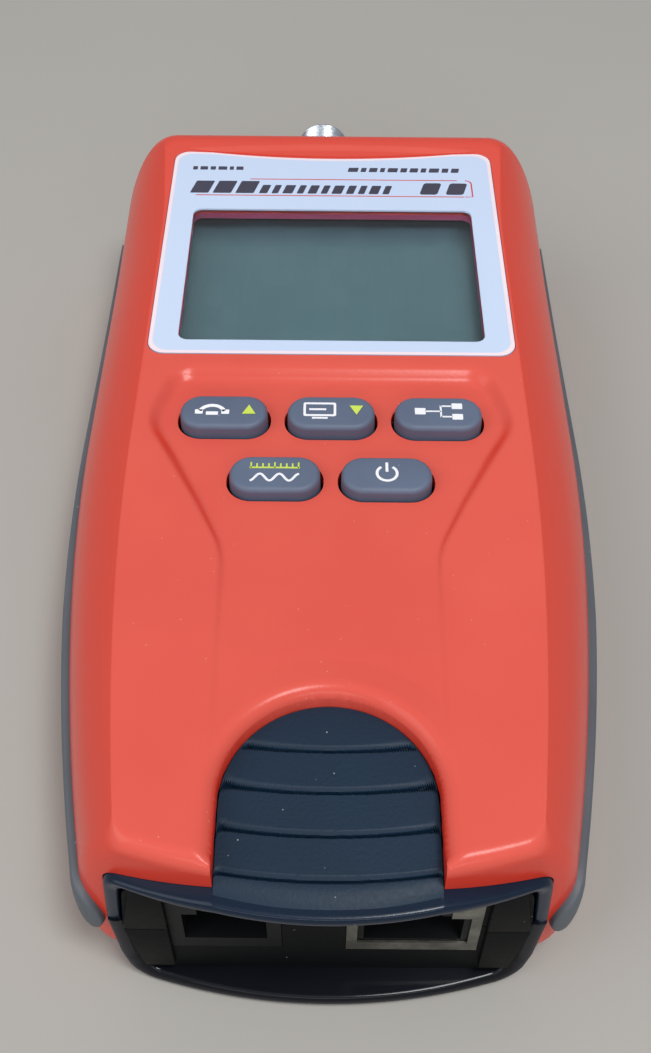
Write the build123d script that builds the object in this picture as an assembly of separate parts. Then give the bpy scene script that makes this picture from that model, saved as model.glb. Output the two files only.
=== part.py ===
from build123d import *
import math
import os

# Hand-held network cable tester, lying on its back with the display up.
# Millimetres. X is to the right, Y runs from the socket end to the coaxial connector,
# Z is up from the rear face. The origin is the middle of the box that holds the whole
# tester, at the bottom.

# ---- case ----
body_length = 148.0           # front lip to far wall
body_width = 76.4             # over the two shells, without the grips
deck_height = 35.0            # rear face to deck
seam_height = 14.0            # where the two shells meet
wall = 2.2
fit_gap = 0.05                # between pieces that are fixed to each other
move_gap = 0.3                # round pieces that move
taper_from_front = 83.1       # where the straight sides start to curve in
side_radius = 320.0
deck_taper_from_front = 68.0
deck_side_radius = 400.0
shoulder_run = 10.4           # crease of the deck to the side, in plan
far_round = 8.0
front_round = 2.0
far_corner = 8.0
deck_far_corner = 4.0
front_corner = 5.0
deck_front_corner = 3.0
nose_setback = 3.0            # lip to the front of the shells
nose_radius = 77.0
rear_round = 6.0              # rounding of the rear shell's lower edge
rear_front_setback = 3.4

# ---- coaxial connector ----
connector_reach = 11.2        # past the far wall
connector_x = -1.8
connector_thread_r = 4.75
connector_neck_r = 4.3         # thread root, drawn plain inside the nut and the far wall
connector_hole_r = 5.1          # washer and far wall
connector_relief = 0.3          # nut face to the start of the thread
connector_bore_r = 3.3
connector_pin_r = 0.4
connector_flange_r = 5.9
connector_flange = 1.6
connector_inside = 12.7       # far wall's outside to the connector's inner end
nut_across = 11.0
nut_thickness = 2.4
washer_r = 7.0
washer_thickness = 0.8

# ---- grips in the seam ----
grip_proud = 1.0
grip_depth = 1.7
grip_low = 11.2
grip_high = 17.2
grip_tip_low = 10.0
grip_tip_high = 19.0
grip_start_from_far = 13.5
grip_tip_from_front = 11.0
grip_end_half = 26.4

# ---- display ----
label_from_far = 10.4
label_length = 52.9
label_margin = 0.5            # label edge to the deck's crease
label_sag = 2.1               # how far the far edge bows in
label_corner = 2.5
label_thickness = 0.35
label_recess = 0.25
window_border = 4.3
window_from_label_far = 17.2
window_length = 32.7
window_corner = 1.5
lens_ledge = 1.2
lens_thickness = 0.9
display_drop = 4.4            # deck to the top of the display glass
display_thickness = 2.2
display_margin = 2.6
backlight_thickness = 3.0
frame_wall = 1.3
strip_width = 2.0

# ---- keys and keypad pocket ----
key_side_margin = 6.4         # deck crease to the first key
key_gap_x = 2.5
key_depth = 6.8
key_corner = 3.2
key_from_label = 12.7         # label's near edge to the middle of the first row
key_row_pitch = 11.8
key_proud = 1.0               # above the deck
key_travel = 1.0
key_flange = 1.2
key_flange_thickness = 1.0
key_lift = 2.6                # board to the underside of a key's flange
pill_r = 2.0
pill_clear = 1.25             # board to the underside of a pill at rest
pill_thickness = 1.35
mat_thickness = 1.2
pocket_from_label = 2.4
pocket_margin = 1.5           # deck crease to the pocket's widest point
pocket_depth_far = 1.6
pocket_depth_near = 0.4
pocket_floor = 1.8
neck_half = 12.9

# ---- thumb arch and port shroud ----
arch_radius = 12.5
arch_from_front = 13.35
arch_drop_far = 3.0           # deck to the top of the pad
arch_drop_near = 4.0
rim_flare = 2.5
rim_depth = 5.0
pad_flange = 3.2
pad_flange_thickness = 1.6
groove_pitch = 5.2
groove_count = 4
groove_from_front = 3.9
groove_width = 0.5
groove_depth = 0.5
groove_bow = 1.0
lip_radius = 55.0
shroud_side_wall = 3.0        # side of the case to the shroud, at the front
shroud_wall = 2.0
shroud_top_side = 27.0
shroud_top_mid = 30.1
shroud_top_half = 25.3
shroud_wide_height = 15.5
shroud_low_height = 6.0
shroud_base = 0.3
shroud_base_half = 24.4
shroud_low_step = 0.6
shroud_depth = 17.0
parting_height = 15.5
mouth_depth = 6.0             # upper lip to the panel
lower_lip_setback = 1.8
panel_thickness = 2.0

# ---- board and what is on it ----
battery_length = 48.5
battery_width = 26.5
battery_thickness = 17.5
battery_clear = 0.3
battery_back_from_far = 33.6
bay_wall = 1.5
bay_contact_room = 6.0
bay_tab_room = 7.0
battery_stud = 2.5
bay_roof = 0.8
foam_thickness = 1.0
board_thickness = 1.6
board_edge_gap = 3.2
board_hole_gap = 0.4

# ---- sockets ----
data_x = 10.3
data_width = 16.0
data_height = 13.5
data_depth = 18.0
shield_wall = 0.3
data_opening_width = 13.4
data_opening_low = 2.1
data_opening_height = 7.2
latch_slot_width = 8.6
latch_slot_height = 3.2
plug_width = 11.8
plug_height = 6.8
plug_depth = 13.0
phone_x = -12.2
phone_width = 13.4
phone_height = 13.0
phone_plug_width = 9.9
phone_latch_width = 6.2
contact_width = 0.5
contact_pitch = 1.02

# ---- battery door ----
door_gap = 0.35
door_recess = 0.3
door_thickness = 1.9
door_side_margin = 2.0
door_tab = 1.4
door_tab_rise = 1.05           # top of a tab above the door's inner face
door_tab_gap = 0.25            # under a tab, over the shell's floor
door_tab_width = 6.0
grip_line_count = 5
grip_line_from_edge = 5.0
grip_line_pitch = 2.4
grip_line_width = 1.0
grip_line_half = 7.0
grip_line_depth = 0.5

# ---- screws ----
boss_r = 3.1
screw_r = 1.4
screw_gap = 0.05
screw_head_r = 2.7
screw_head_height = 2.0
screw_head_recess = 1.0
screw_bite = 6.0               # length of screw in the front shell
boss_inset = 8.4
far_boss_from_far = 9.0
near_boss_from_front = 38.0
board_screw_r = 1.0
board_screw_head_r = 1.9
board_screw_head = 1.2
board_screw_length = 7.0
board_post_r = 2.4

# ---- parts on the board ----
sounder_x = -10.0
sounder_r = 6.0
sounder_height = 5.5
sounder_hole_r = 1.2
chip_half = 6.0
chip_height = 1.5
leg_count = 10
leg_pitch = 1.1
leg_half = 0.6
leg_thick = 0.2
relay_width = 7.4
relay_length = 12.0
relay_height = 9.6
relay_pitch = 12.0
relay_from_bay = 4.0

# ---- places worked out from the sizes above ----
front_y = -(body_length + connector_reach) / 2
far_y = front_y + body_length
tip_y = far_y + connector_reach
half_width = body_width / 2
deck_half = half_width - shoulder_run
taper_y = front_y + taper_from_front
deck_taper_y = front_y + deck_taper_from_front
shell_front_y = front_y + nose_setback
label_far_y = far_y - label_from_far
label_near_y = label_far_y - label_length
label_half = deck_half - label_margin
window_far_y = label_far_y - window_from_label_far
window_near_y = window_far_y - window_length
window_half = label_half - window_border
key_pitch_x = (2 * deck_half - 2 * key_side_margin + key_gap_x) / 3
key_width = key_pitch_x - key_gap_x
key_row_y = label_near_y - key_from_label
pocket_far_y = label_near_y - pocket_from_label
pocket_half = deck_half - pocket_margin
arch_y = front_y + arch_from_front
arch_top_y = arch_y + arch_radius
panel_y = front_y + mouth_depth
door_low = door_recess
door_high = door_low + door_thickness
battery_low = door_high + foam_thickness
board_inset = wall + board_edge_gap
battery_high = battery_low + battery_thickness
board_low = battery_high + bay_roof + battery_clear
board_high = board_low + board_thickness
display_high = deck_height - display_drop
display_low = display_high - display_thickness
key_top = deck_height + key_proud
bay_far_y = far_y - battery_back_from_far
battery_far_y = bay_far_y - bay_tab_room
battery_near_y = battery_far_y - battery_length + battery_stud
bay_near_y = battery_near_y - bay_contact_room
bay_half = battery_width / 2 + battery_clear


def box_between(low, high):
    size = [high[i] - low[i] for i in range(3)]
    middle = [(high[i] + low[i]) / 2 for i in range(3)]
    return Pos(*middle) * Box(*size)


def upright(radius, height, x, y, z):
    # a cylinder that stands on height z
    return Pos(x, y, z + height / 2) * Cylinder(radius, height)


def front_crossing(half, taper, radius, front):
    # where the curved side meets the bowed front: halving the interval in y
    low = front
    high = taper
    for _ in range(60):
        y = (low + high) / 2
        side = half - radius + math.sqrt(radius ** 2 - (y - taper) ** 2)
        reach = math.sqrt(nose_radius ** 2 - (y - front - nose_radius) ** 2)
        if reach < side:
            low = y
        else:
            high = y
    return side, y


def plan(half, taper, radius, far, front, far_r, front_r):
    # case outline: straight far edge and sides, sides curving in, bowed front edge
    x, y = front_crossing(half, taper, radius, front)
    mid_y = (y + taper) / 2
    mid_x = half - radius + math.sqrt(radius ** 2 - (mid_y - taper) ** 2)
    edges = [
        Line((half, taper), (half, far)),
        Line((half, far), (-half, far)),
        Line((-half, far), (-half, taper)),
        ThreePointArc((-half, taper), (-mid_x, mid_y), (-x, y)),
        ThreePointArc((-x, y), (0, front), (x, y)),
        ThreePointArc((x, y), (mid_x, mid_y), (half, taper)),
    ]
    sketch = make_face(edges)
    far_ones = [v for v in sketch.vertices() if v.Y > far - 0.01]
    sketch = fillet(far_ones, far_r)
    front_ones = [v for v in sketch.vertices() if v.Y < y + 0.01 and abs(abs(v.X) - x) < 0.01]
    return fillet(front_ones, front_r)


def case_plan(inset):
    # the widest outline, moved in by the inset (out if it is negative)
    return plan(
        half_width - inset,
        taper_y,
        side_radius - inset,
        far_y - inset,
        shell_front_y + inset,
        max(far_corner - inset, 1.0),
        max(front_corner - inset, 1.0),
    )


def mix(a, b, share):
    return a + (b - a) * share


def round_run(radius, below_top):
    # how far a rounded top edge has come in at this depth below the top
    if below_top >= radius:
        return 0.0
    return radius - math.sqrt(radius ** 2 - (radius - below_top) ** 2)


def upper_form(inset):
    # solid form of the upper half: outlines at rising heights, joined by straight walls
    sections = []
    top = deck_height - inset
    for share in (0.0, 0.2, 0.4, 0.6, 0.75, 0.87, 0.95, 1.0):
        height = mix(seam_height, top, share)
        fall = 1 - (1 - share ** 2) ** 0.8
        below = top - height
        outline = plan(
            mix(half_width, deck_half, fall) - inset,
            mix(taper_y, deck_taper_y, fall),
            mix(side_radius, deck_side_radius, fall) - inset,
            far_y - inset - round_run(far_round, below),
            shell_front_y + inset + round_run(front_round, below),
            max(mix(far_corner, deck_far_corner, fall) - inset / 2, 1.0),
            max(mix(front_corner, deck_front_corner, fall) - inset / 2, 1.0),
        )
        sections.append(Pos(0, 0, height) * outline)
    return loft(sections, ruled=True)


def lower_form(inset):
    # solid form of the rear shell, with a rounded lower edge
    sections = []
    for below in (0.0, 0.5, 1.5, 3.0, rear_round):
        run = round_run(rear_round, below) * 0.8
        outline = plan(
            half_width - inset - run,
            taper_y,
            side_radius - inset,
            far_y - inset - run,
            shell_front_y + rear_front_setback * 0.15 + inset + run,
            max(far_corner - inset / 2 - run / 2, 1.0),
            max(front_corner - inset / 2 - run / 2, 1.0),
        )
        sections.append(Pos(0, 0, inset + below) * outline)
    sections.append(Pos(0, 0, seam_height) * case_plan(inset))
    return loft(sections, ruled=True)


def rounded_block(width, length, corner, low, high, x=0.0, y=0.0):
    # an upright block with rounded corners, centred on x and y
    outline = RectangleRounded(width, length, corner)
    return Pos(x, y, low) * extrude(outline, high - low)


def arch_block(extra, low, high, front):
    # the thumb arch's plan: a half round end and straight sides to the front
    radius = arch_radius + extra
    body = box_between((-radius, front, low), (radius, arch_y, high))
    ahead = box_between((-radius, arch_y - radius, low), (radius, arch_y, high))
    return (upright(radius, high - low, 0, arch_y, low) - ahead) + body


def arch_flare():
    # the rolled rim: opens out from the pad to the deck
    low = deck_height - rim_flare
    high = deck_height + 1.0
    wide = arch_radius + fit_gap + rim_flare + 1.0
    narrow = arch_radius + fit_gap
    cone = Pos(0, arch_y, (low + high) / 2) * Cone(narrow, wide, high - low)
    section = make_face(Polyline([
        (-narrow, low),
        (narrow, low),
        (wide, high),
        (-wide, high),
        (-narrow, low),
    ]))
    run = arch_y - front_y + 5
    prism = extrude(Plane((0, arch_y, 0), x_dir=(1, 0, 0), z_dir=(0, -1, 0)) * section, run)
    return cone + prism


def key_places():
    first = [(-key_pitch_x, key_row_y), (0.0, key_row_y), (key_pitch_x, key_row_y)]
    low_y = key_row_y - key_row_pitch
    second = [(-key_pitch_x / 2, low_y), (key_pitch_x / 2, low_y)]
    return first + second


def pocket_outline(extra):
    # keypad pocket: wide round the keys, then a neck that runs to the thumb arch
    wide = pocket_half + extra
    neck = neck_half + extra
    low_row = key_row_y - key_row_pitch
    points = [
        (neck, arch_y),
        (neck, low_row - 12.5),
        (mix(neck, wide, 0.32), low_row - 4.5),
        (wide, key_row_y - 1.0),
        (wide - 3.0, pocket_far_y + extra),
    ]
    mirrored = [(-x, y) for x, y in reversed(points)]
    outline = make_face(Polyline(points + mirrored + [points[0]]))
    far_ones = [v for v in outline.vertices() if v.Y > key_row_y - 2]
    outline = fillet(far_ones, 4.0)
    near_ones = [v for v in outline.vertices() if low_row - 13 < v.Y < low_row - 4]
    return fillet(near_ones, 6.0)


def pocket_cut():
    # everything above a floor that rises gently towards the arch
    block = Pos(0, 0, deck_height - 6) * extrude(pocket_outline(0.0), 12)
    profile = make_face(Polyline([
        (pocket_far_y + 20, deck_height - pocket_depth_far),
        (pocket_far_y, deck_height - pocket_depth_far),
        (arch_y, deck_height - pocket_depth_near),
        (arch_y, deck_height + 5),
        (pocket_far_y + 20, deck_height + 5),
        (pocket_far_y + 20, deck_height - pocket_depth_far),
    ]))
    above = extrude(Plane.YZ * profile, body_width, both=True)
    return block & above


def label_outline(shrink):
    # printed overlay: the far edge bows towards the display
    half = label_half - shrink
    far = label_far_y - shrink
    near = label_near_y + shrink
    edges = [
        Line((half, near), (half, far)),
        ThreePointArc((half, far), (0, far - label_sag), (-half, far)),
        Line((-half, far), (-half, near)),
        Line((-half, near), (half, near)),
    ]
    outline = make_face(edges)
    return fillet(outline.vertices(), label_corner)


def window_block(extra, low, high, corner, extra_y=0.0):
    middle = (window_far_y + window_near_y) / 2
    width = 2 * window_half + 2 * extra
    length = window_length + 2 * extra + 2 * extra_y
    return rounded_block(width, length, corner, low, high, 0, middle)


def shroud_outline(extra):
    # the port shroud seen from the front
    half = shroud_half() + extra
    low_half = half - shroud_low_step
    top_half = min(shroud_top_half, shroud_half()) + extra
    base_half = min(shroud_base_half, shroud_half() - shroud_low_step) + extra
    mid = arch_radius
    right = [
        (base_half, shroud_base - extra),
        (low_half, shroud_low_height),
        (half, shroud_wide_height),
        (top_half, shroud_top_side + extra),
        (mid, shroud_top_mid + extra),
    ]
    left = [(-x, z) for x, z in reversed(right)]
    outline = make_face(Polyline(right + left + [right[0]]))
    round_ones = [v for v in outline.vertices() if abs(v.X) > mid + 1]
    return fillet(round_ones, 2.0)


def shroud_half():
    return half_width - shroud_side_wall - side_fall()


def side_fall():
    # how much the side has curved in where the shroud's widest part stands
    drop = taper_y - panel_y
    return side_radius - math.sqrt(side_radius ** 2 - drop ** 2)


def shroud_prism(extra, y_from, y_to):
    plane = Plane((0, y_to, 0), x_dir=(1, 0, 0), z_dir=(0, -1, 0))
    return extrude(plane * shroud_outline(extra), y_to - y_from)


def lip_block(apex, radius, low, high):
    # everything behind a lip that bows forward
    disc = upright(radius, high - low, 0, apex + radius, low)
    return disc & box_between((-60, apex - 1, low), (60, apex + 40, high))


def make_grip(side):
    # the strip follows the seam and ends in a taller rounded finger
    outer = case_plan(-grip_proud)
    inner = case_plan(grip_depth)
    ring = outer - inner
    strip = Pos(0, 0, grip_low) * extrude(ring, grip_high - grip_low)
    tip = Pos(0, 0, grip_tip_low) * extrude(ring, grip_tip_high - grip_tip_low)
    far_end = far_y - grip_start_from_far
    tip_end = front_y + grip_tip_from_front
    keep = box_between((grip_end_half, front_y - 5, 0), (60, far_end, 40))
    keep_tip = box_between((grip_end_half, front_y - 5, 0), (60, tip_end, 40))
    grip = (strip & keep) + (tip & keep_tip)
    if side < 0:
        grip = mirror(grip, Plane.YZ)
    return grip


def grip_recess():
    # room for both grips, cut from the two shells
    outer = case_plan(-3.0)
    inner = case_plan(grip_depth + fit_gap)
    ring = outer - inner
    strip = Pos(0, 0, grip_low - fit_gap) * extrude(ring, grip_high - grip_low + 2 * fit_gap)
    tip_rise = grip_tip_high - grip_tip_low + 2 * fit_gap
    tip = Pos(0, 0, grip_tip_low - fit_gap) * extrude(ring, tip_rise)
    far_end = far_y - grip_start_from_far + fit_gap
    tip_end = front_y + grip_tip_from_front + fit_gap
    start = grip_end_half - fit_gap
    right = strip & box_between((start, front_y - 8, 0), (70, far_end, 40))
    right = right + (tip & box_between((start, front_y - 8, 0), (70, tip_end, 40)))
    return right + mirror(right, Plane.YZ)


def boss_places():
    far = far_y - far_boss_from_far
    near = front_y + near_boss_from_front
    drop = taper_y - near
    near_half = half_width - (side_radius - math.sqrt(side_radius ** 2 - drop ** 2))
    far_x = half_width - boss_inset
    near_x = near_half - boss_inset
    return [(far_x, far), (-far_x, far), (near_x, near), (-near_x, near)]


def board_screw_places():
    near = key_row_y + 10.0
    far = label_far_y - 7.0
    x = half_width - board_inset - 3.6
    return [(x, far), (-x, far), (x, near), (-x, near)]


def make_front_shell():
    outer = upper_form(0.0)
    shell = outer - upper_form(wall)
    # the seam side of the cavity is open
    rim = arch_block(rim_flare, deck_height - rim_depth, deck_height, shell_front_y - 1)
    backing_low = deck_height - pocket_depth_far - pocket_floor
    backing = Pos(0, 0, backing_low) * extrude(pocket_outline(1.5), deck_height - backing_low - 0.5)
    shell = shell + (rim & outer) + (backing & outer)
    for x, y in boss_places():
        post = upright(boss_r, deck_height - wall + 0.5 - seam_height, x, y, seam_height)
        shell = shell + (post & outer)
    for x, y in board_screw_places():
        post = upright(board_post_r, deck_height - wall + 0.5 - board_high, x, y, board_high)
        shell = shell + (post & outer)
    shell = shell - arch_block(fit_gap, 0, deck_height + 2, front_y - 5)
    shell = shell - arch_flare()
    shell = shell - pocket_cut()
    for x, y in key_places():
        hole = rounded_block(
            key_width + 2 * move_gap,
            key_depth + 2 * move_gap,
            key_corner + move_gap,
            board_high,
            deck_height + 2,
            x,
            y,
        )
        shell = shell - hole
    recess = extrude(Pos(0, 0, deck_height - label_recess) * label_outline(-fit_gap), 3)
    shell = shell - recess
    shell = shell - window_block(0.0, board_high, deck_height + 1, window_corner)
    lens_low = deck_height - label_recess - lens_thickness
    shell = shell - window_block(lens_ledge + fit_gap, lens_low, deck_height + 1, window_corner)
    shell = shell - shroud_prism(fit_gap, front_y - 5, panel_y + shroud_depth + fit_gap)
    flange_low = deck_height - rim_depth - pad_flange_thickness - 2 * fit_gap
    shell = shell - arch_block(pad_flange + fit_gap, flange_low, deck_height - rim_depth, front_y - 5)
    shell = shell - grip_recess()
    for x, y in boss_places():
        shell = shell - upright(screw_r + screw_gap, screw_bite + 1.5, x, y, seam_height - 1)
    for x, y in board_screw_places():
        shell = shell - upright(board_screw_r + screw_gap, board_screw_length, x, y, board_high - 1)
    shell = shell - connector_room() - both_jack_rooms()
    return biggest(shell)


def connector_room():
    # the hole in the far wall, and a flat seat for the flange inside it
    z = connector_z()
    hole = along_y(connector_hole_r, far_y - 5, far_y + 5, connector_x, z)
    return hole + along_y(connector_flange_r + move_gap, far_y - 8, far_y - wall, connector_x, z)


def connector_z():
    return (board_low + board_high) / 2


def biggest(shape):
    # keeps the one real solid where a cut has left a crumb
    return max(shape.solids(), key=lambda solid: solid.volume)


def door_span():
    near = bay_near_y + 1.0
    far = bay_far_y - door_tab - 1.2
    return near, far


def door_half():
    return bay_half + bay_wall + door_side_margin


def make_rear_shell():
    shell = lower_form(0.0) - lower_form(wall)
    near, far = door_span()
    bay_outer = box_between(
        (-bay_half - bay_wall, bay_near_y - bay_wall, wall - 0.5),
        (bay_half + bay_wall, bay_far_y + bay_wall, board_low - 0.2),
    )
    shell = shell + bay_outer
    shell = shell + box_between(
        (-door_half() - 2.5, near - 3.0, wall - 0.5),
        (door_half() + 2.5, far + 1.5, door_high + 1.0),
    )
    for x, y in boss_places():
        post = upright(boss_r + 0.6, seam_height - 1, x, y, 1)
        shell = shell + (post & lower_form(0.0))
    shell = shell - box_between(
        (-bay_half, bay_near_y, door_high + 0.1),
        (bay_half, bay_far_y, battery_high + battery_clear),
    )
    opening = box_between(
        (-door_half() - door_gap, near - door_gap, -1),
        (door_half() + door_gap, far + door_gap, door_high + 0.1),
    )
    shell = shell - opening
    neck = box_between((-bay_half, near, 0), (bay_half, far + door_gap, door_high + 3))
    shell = shell - neck
    for x, y in boss_places():
        shell = shell - upright(screw_head_r + 0.3, screw_head_recess + screw_head_height + 1, x, y, -1)
        shell = shell - upright(screw_r + 0.3, seam_height + 2, x, y, 0)
    shell = shell - grip_recess()
    shell = shell - shroud_prism(fit_gap, front_y - 5, panel_y + shroud_depth + fit_gap)
    shell = shell - connector_room() - both_jack_rooms()
    return biggest(shell)


def jack_room(x, width, height, extra):
    return box_between(
        (x - width / 2 - extra, panel_y - 1, board_low - height - extra),
        (x + width / 2 + extra, panel_y + shroud_depth + 5, board_low + extra),
    )


def both_jack_rooms():
    room = jack_room(data_x, data_width, data_height, fit_gap)
    return room + jack_room(phone_x, phone_width, phone_height, fit_gap)


def shroud_body():
    # both halves in one: a bowed sleeve with a panel across it
    upper = lip_block(front_y, lip_radius, parting_height, deck_height)
    side = shroud_half()
    meet = front_y + side ** 2 / (2 * lip_radius)
    low_apex = front_y + lower_lip_setback
    low_radius = side ** 2 / (2 * (meet - low_apex))
    lower = lip_block(low_apex, low_radius, 0, parting_height)
    sleeve = shroud_prism(0.0, front_y - 1, panel_y + shroud_depth)
    hollow = shroud_prism(-shroud_wall, front_y - 2, panel_y)
    hollow = hollow + shroud_prism(-shroud_wall, panel_y + panel_thickness, panel_y + shroud_depth + 1)
    body = sleeve - hollow - both_jack_rooms()
    return body & upper, body & lower


def pad_block():
    # the thumb pad: a wedge under the arch with grooves that bow forward
    far_top = deck_height - arch_drop_far
    near_top = deck_height - arch_drop_near
    low = shroud_top_mid - shroud_wall
    profile = make_face(Polyline([
        (arch_top_y, low),
        (arch_top_y, far_top),
        (front_y + 2.5, near_top),
        (front_y, near_top - 1.6),
        (front_y, low),
        (arch_top_y, low),
    ]))
    wedge = extrude(Plane.YZ * profile, arch_radius, both=True)
    pad = wedge & arch_block(0.0, low, deck_height, front_y - 1)
    pad = pad & lip_block(front_y, lip_radius, low, deck_height)
    bow_radius = arch_radius ** 2 / (2 * groove_bow)
    for i in range(groove_count):
        y = front_y + groove_from_front + i * groove_pitch
        share = (y - front_y) / (arch_top_y - front_y)
        top = mix(near_top, far_top, share)
        ring = upright(bow_radius, 3, 0, y + bow_radius, top - groove_depth)
        ring = ring - upright(bow_radius - groove_width, 3, 0, y + bow_radius, top - groove_depth)
        ring = ring & box_between((-20, y - 5, 0), (20, y + 5, 60))
        pad = pad - ring
    return pad


def make_shroud_upper():
    upper, _ = shroud_body()
    flange_high = deck_height - rim_depth - fit_gap
    flange = arch_block(pad_flange, flange_high - pad_flange_thickness, flange_high, panel_y)
    inner = arch_block(-1.5, flange_high - 5, flange_high - pad_flange_thickness, panel_y + 3)
    body = upper + pad_block() + flange
    body = body - inner
    return biggest(body - both_jack_rooms())


def make_shroud_lower():
    _, lower = shroud_body()
    return biggest(lower)


def make_overlay():
    sheet = Pos(0, 0, deck_height - label_recess) * extrude(label_outline(0.0), label_thickness)
    return sheet - window_block(0.0, deck_height - 2, deck_height + 2, window_corner)


def make_window():
    high = deck_height - label_recess
    return window_block(lens_ledge, high - lens_thickness, high - fit_gap, window_corner)


def make_display_glass():
    return window_block(display_margin, display_low, display_high, 0.5)


def make_backlight():
    low = display_low - backlight_thickness
    return window_block(display_margin - 0.5, low, display_low - fit_gap, 0.5)


def make_display_frame():
    grown = display_margin + frame_wall
    outer = window_block(grown, board_high + fit_gap, display_high - fit_gap, 1.0, strip_width)
    inner = window_block(display_margin + fit_gap, board_high - 1, display_low - 1.2, 0.5)
    seat = window_block(display_margin + fit_gap, display_low - 2, display_high + 1, 0.5)
    frame = outer - inner - seat
    return frame - strip_solids(fit_gap)


def strip_solids(extra):
    # elastomer strips between the board and the display's two long edges
    low = board_high + fit_gap - extra
    high = display_low - fit_gap + extra
    strips = []
    for y in (window_near_y - display_margin - 1.0, window_far_y + display_margin + 1.0):
        strips.append(box_between(
            (-window_half + 2 - extra, y - strip_width / 2 - extra, low),
            (window_half - 2 + extra, y + strip_width / 2 + extra, high),
        ))
    return strips[0] + strips[1]


def make_keypad_mat():
    low_row = key_row_y - key_row_pitch
    length = key_row_y - low_row + key_depth + 5.0
    width = 2 * key_pitch_x + key_width + 5.0
    sheet = rounded_block(
        width,
        length,
        3.0,
        board_high + fit_gap,
        board_high + mat_thickness,
        0,
        (key_row_y + low_row) / 2,
    )
    for x, y in key_places():
        sheet = sheet - upright(pill_r + 0.5, 5, x, y, board_high - 1)
    return sheet


def make_key(x, y):
    low = board_high + key_lift
    cap = rounded_block(key_width, key_depth, key_corner, low, key_top, x, y)
    top_edges = cap.edges().filter_by(lambda edge: edge.center().Z > key_top - 0.01)
    cap = fillet(top_edges, 0.9)
    flange = rounded_block(
        key_width + 2 * key_flange * 0.9,
        key_depth + 2 * key_flange,
        key_corner + key_flange * 0.9,
        low,
        low + key_flange_thickness,
        x,
        y,
    )
    return cap + flange


def make_pill(x, y):
    return upright(pill_r, pill_thickness, x, y, board_high + pill_clear)


def make_board():
    outline = plan(
        half_width - board_inset,
        taper_y,
        side_radius - board_inset,
        far_y - wall - 1.0,
        panel_y + panel_thickness + 0.3,
        3.0,
        2.0,
    )
    board = Pos(0, 0, board_low) * extrude(outline, board_thickness)
    for x, y in boss_places():
        board = board - upright(boss_r + board_hole_gap, 4, x, y, board_low - 1)
    for x, y in board_screw_places():
        board = board - upright(board_screw_r + 0.2, 4, x, y, board_low - 1)
    hole = Rot(90, 0, 0) * Cylinder(connector_flange_r + board_hole_gap, 2 * connector_inside + 5)
    board = board - Pos(connector_x, far_y, connector_z()) * hole
    inside = min(shroud_top_half, shroud_half()) - shroud_wall - 2 * board_hole_gap
    front_end = panel_y + shroud_depth + 0.4
    for side in (-1, 1):
        low_x = min(side * inside, side * 60)
        high_x = max(side * inside, side * 60)
        board = board - box_between((low_x, front_y - 2, 0), (high_x, front_end, 60))
    return biggest(board)


def make_data_shield():
    height_low = board_low - data_height
    body = box_between(
        (data_x - data_width / 2, panel_y, height_low),
        (data_x + data_width / 2, panel_y + data_depth, board_low),
    )
    inner = box_between(
        (data_x - data_width / 2 + shield_wall, panel_y + shield_wall, height_low + shield_wall),
        (data_x + data_width / 2 - shield_wall, panel_y + data_depth - shield_wall, board_low - shield_wall),
    )
    low = height_low + data_opening_low
    mouth = box_between(
        (data_x - data_opening_width / 2, panel_y - 1, low),
        (data_x + data_opening_width / 2, panel_y + 2, low + data_opening_height),
    )
    slot = box_between(
        (data_x - latch_slot_width / 2, panel_y - 1, low),
        (data_x + latch_slot_width / 2, panel_y + 2, low + data_opening_height + latch_slot_height),
    )
    return body - inner - mouth - slot


def make_data_insert():
    gap = shield_wall + fit_gap
    height_low = board_low - data_height
    body = box_between(
        (data_x - data_width / 2 + gap, panel_y + gap, height_low + gap),
        (data_x + data_width / 2 - gap, panel_y + data_depth - gap, board_low - gap),
    )
    low = height_low + data_opening_low + 0.4
    plug = box_between(
        (data_x - plug_width / 2, panel_y - 1, low),
        (data_x + plug_width / 2, panel_y + plug_depth, low + plug_height),
    )
    latch = box_between(
        (data_x - 3.2, panel_y - 1, low),
        (data_x + 3.2, panel_y + plug_depth, low + plug_height + 3.0),
    )
    return body - plug - latch - data_contact_solids(fit_gap)


def data_contact_solids(extra):
    low = board_low - data_height + data_opening_low + 0.4
    return contact_row(data_x, low, 8, extra)


def phone_contact_solids(extra):
    low = board_low - phone_height + 2.6
    return contact_row(phone_x, low, 6, extra)


def contact_row(x, low, count, extra):
    # sprung wires: along the cavity floor, then rising towards the back
    wires = []
    for i in range(count):
        place = x + (i - (count - 1) / 2) * contact_pitch
        half = contact_width / 2 + extra
        profile = make_face(Polyline([
            (panel_y + 3.0, low - 0.9),
            (panel_y + plug_depth - 1.0, low - 0.9),
            (panel_y + plug_depth - 1.0, low - 0.3),
            (panel_y + 7.0, low + 2.2),
            (panel_y + 6.6, low + 1.8),
            (panel_y + 9.5, low - 0.3),
            (panel_y + 3.0, low - 0.3),
            (panel_y + 3.0, low - 0.9),
        ]))
        if extra > 0:
            profile = offset(profile, 1.5 * extra, kind=Kind.INTERSECTION)
        wires.append(Pos(place, 0, 0) * extrude(Plane.YZ * profile, half, both=True))
    group = wires[0]
    for wire in wires[1:]:
        group = group + wire
    return group


def make_phone_jack():
    height_low = board_low - phone_height
    body = box_between(
        (phone_x - phone_width / 2, panel_y, height_low),
        (phone_x + phone_width / 2, panel_y + data_depth, board_low),
    )
    low = height_low + 2.6
    plug = box_between(
        (phone_x - phone_plug_width / 2, panel_y - 1, low),
        (phone_x + phone_plug_width / 2, panel_y + plug_depth, low + plug_height),
    )
    latch = box_between(
        (phone_x - phone_latch_width / 2, panel_y - 1, low),
        (phone_x + phone_latch_width / 2, panel_y + plug_depth, low + plug_height + 2.4),
    )
    return body - plug - latch - phone_contact_solids(fit_gap)


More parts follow.
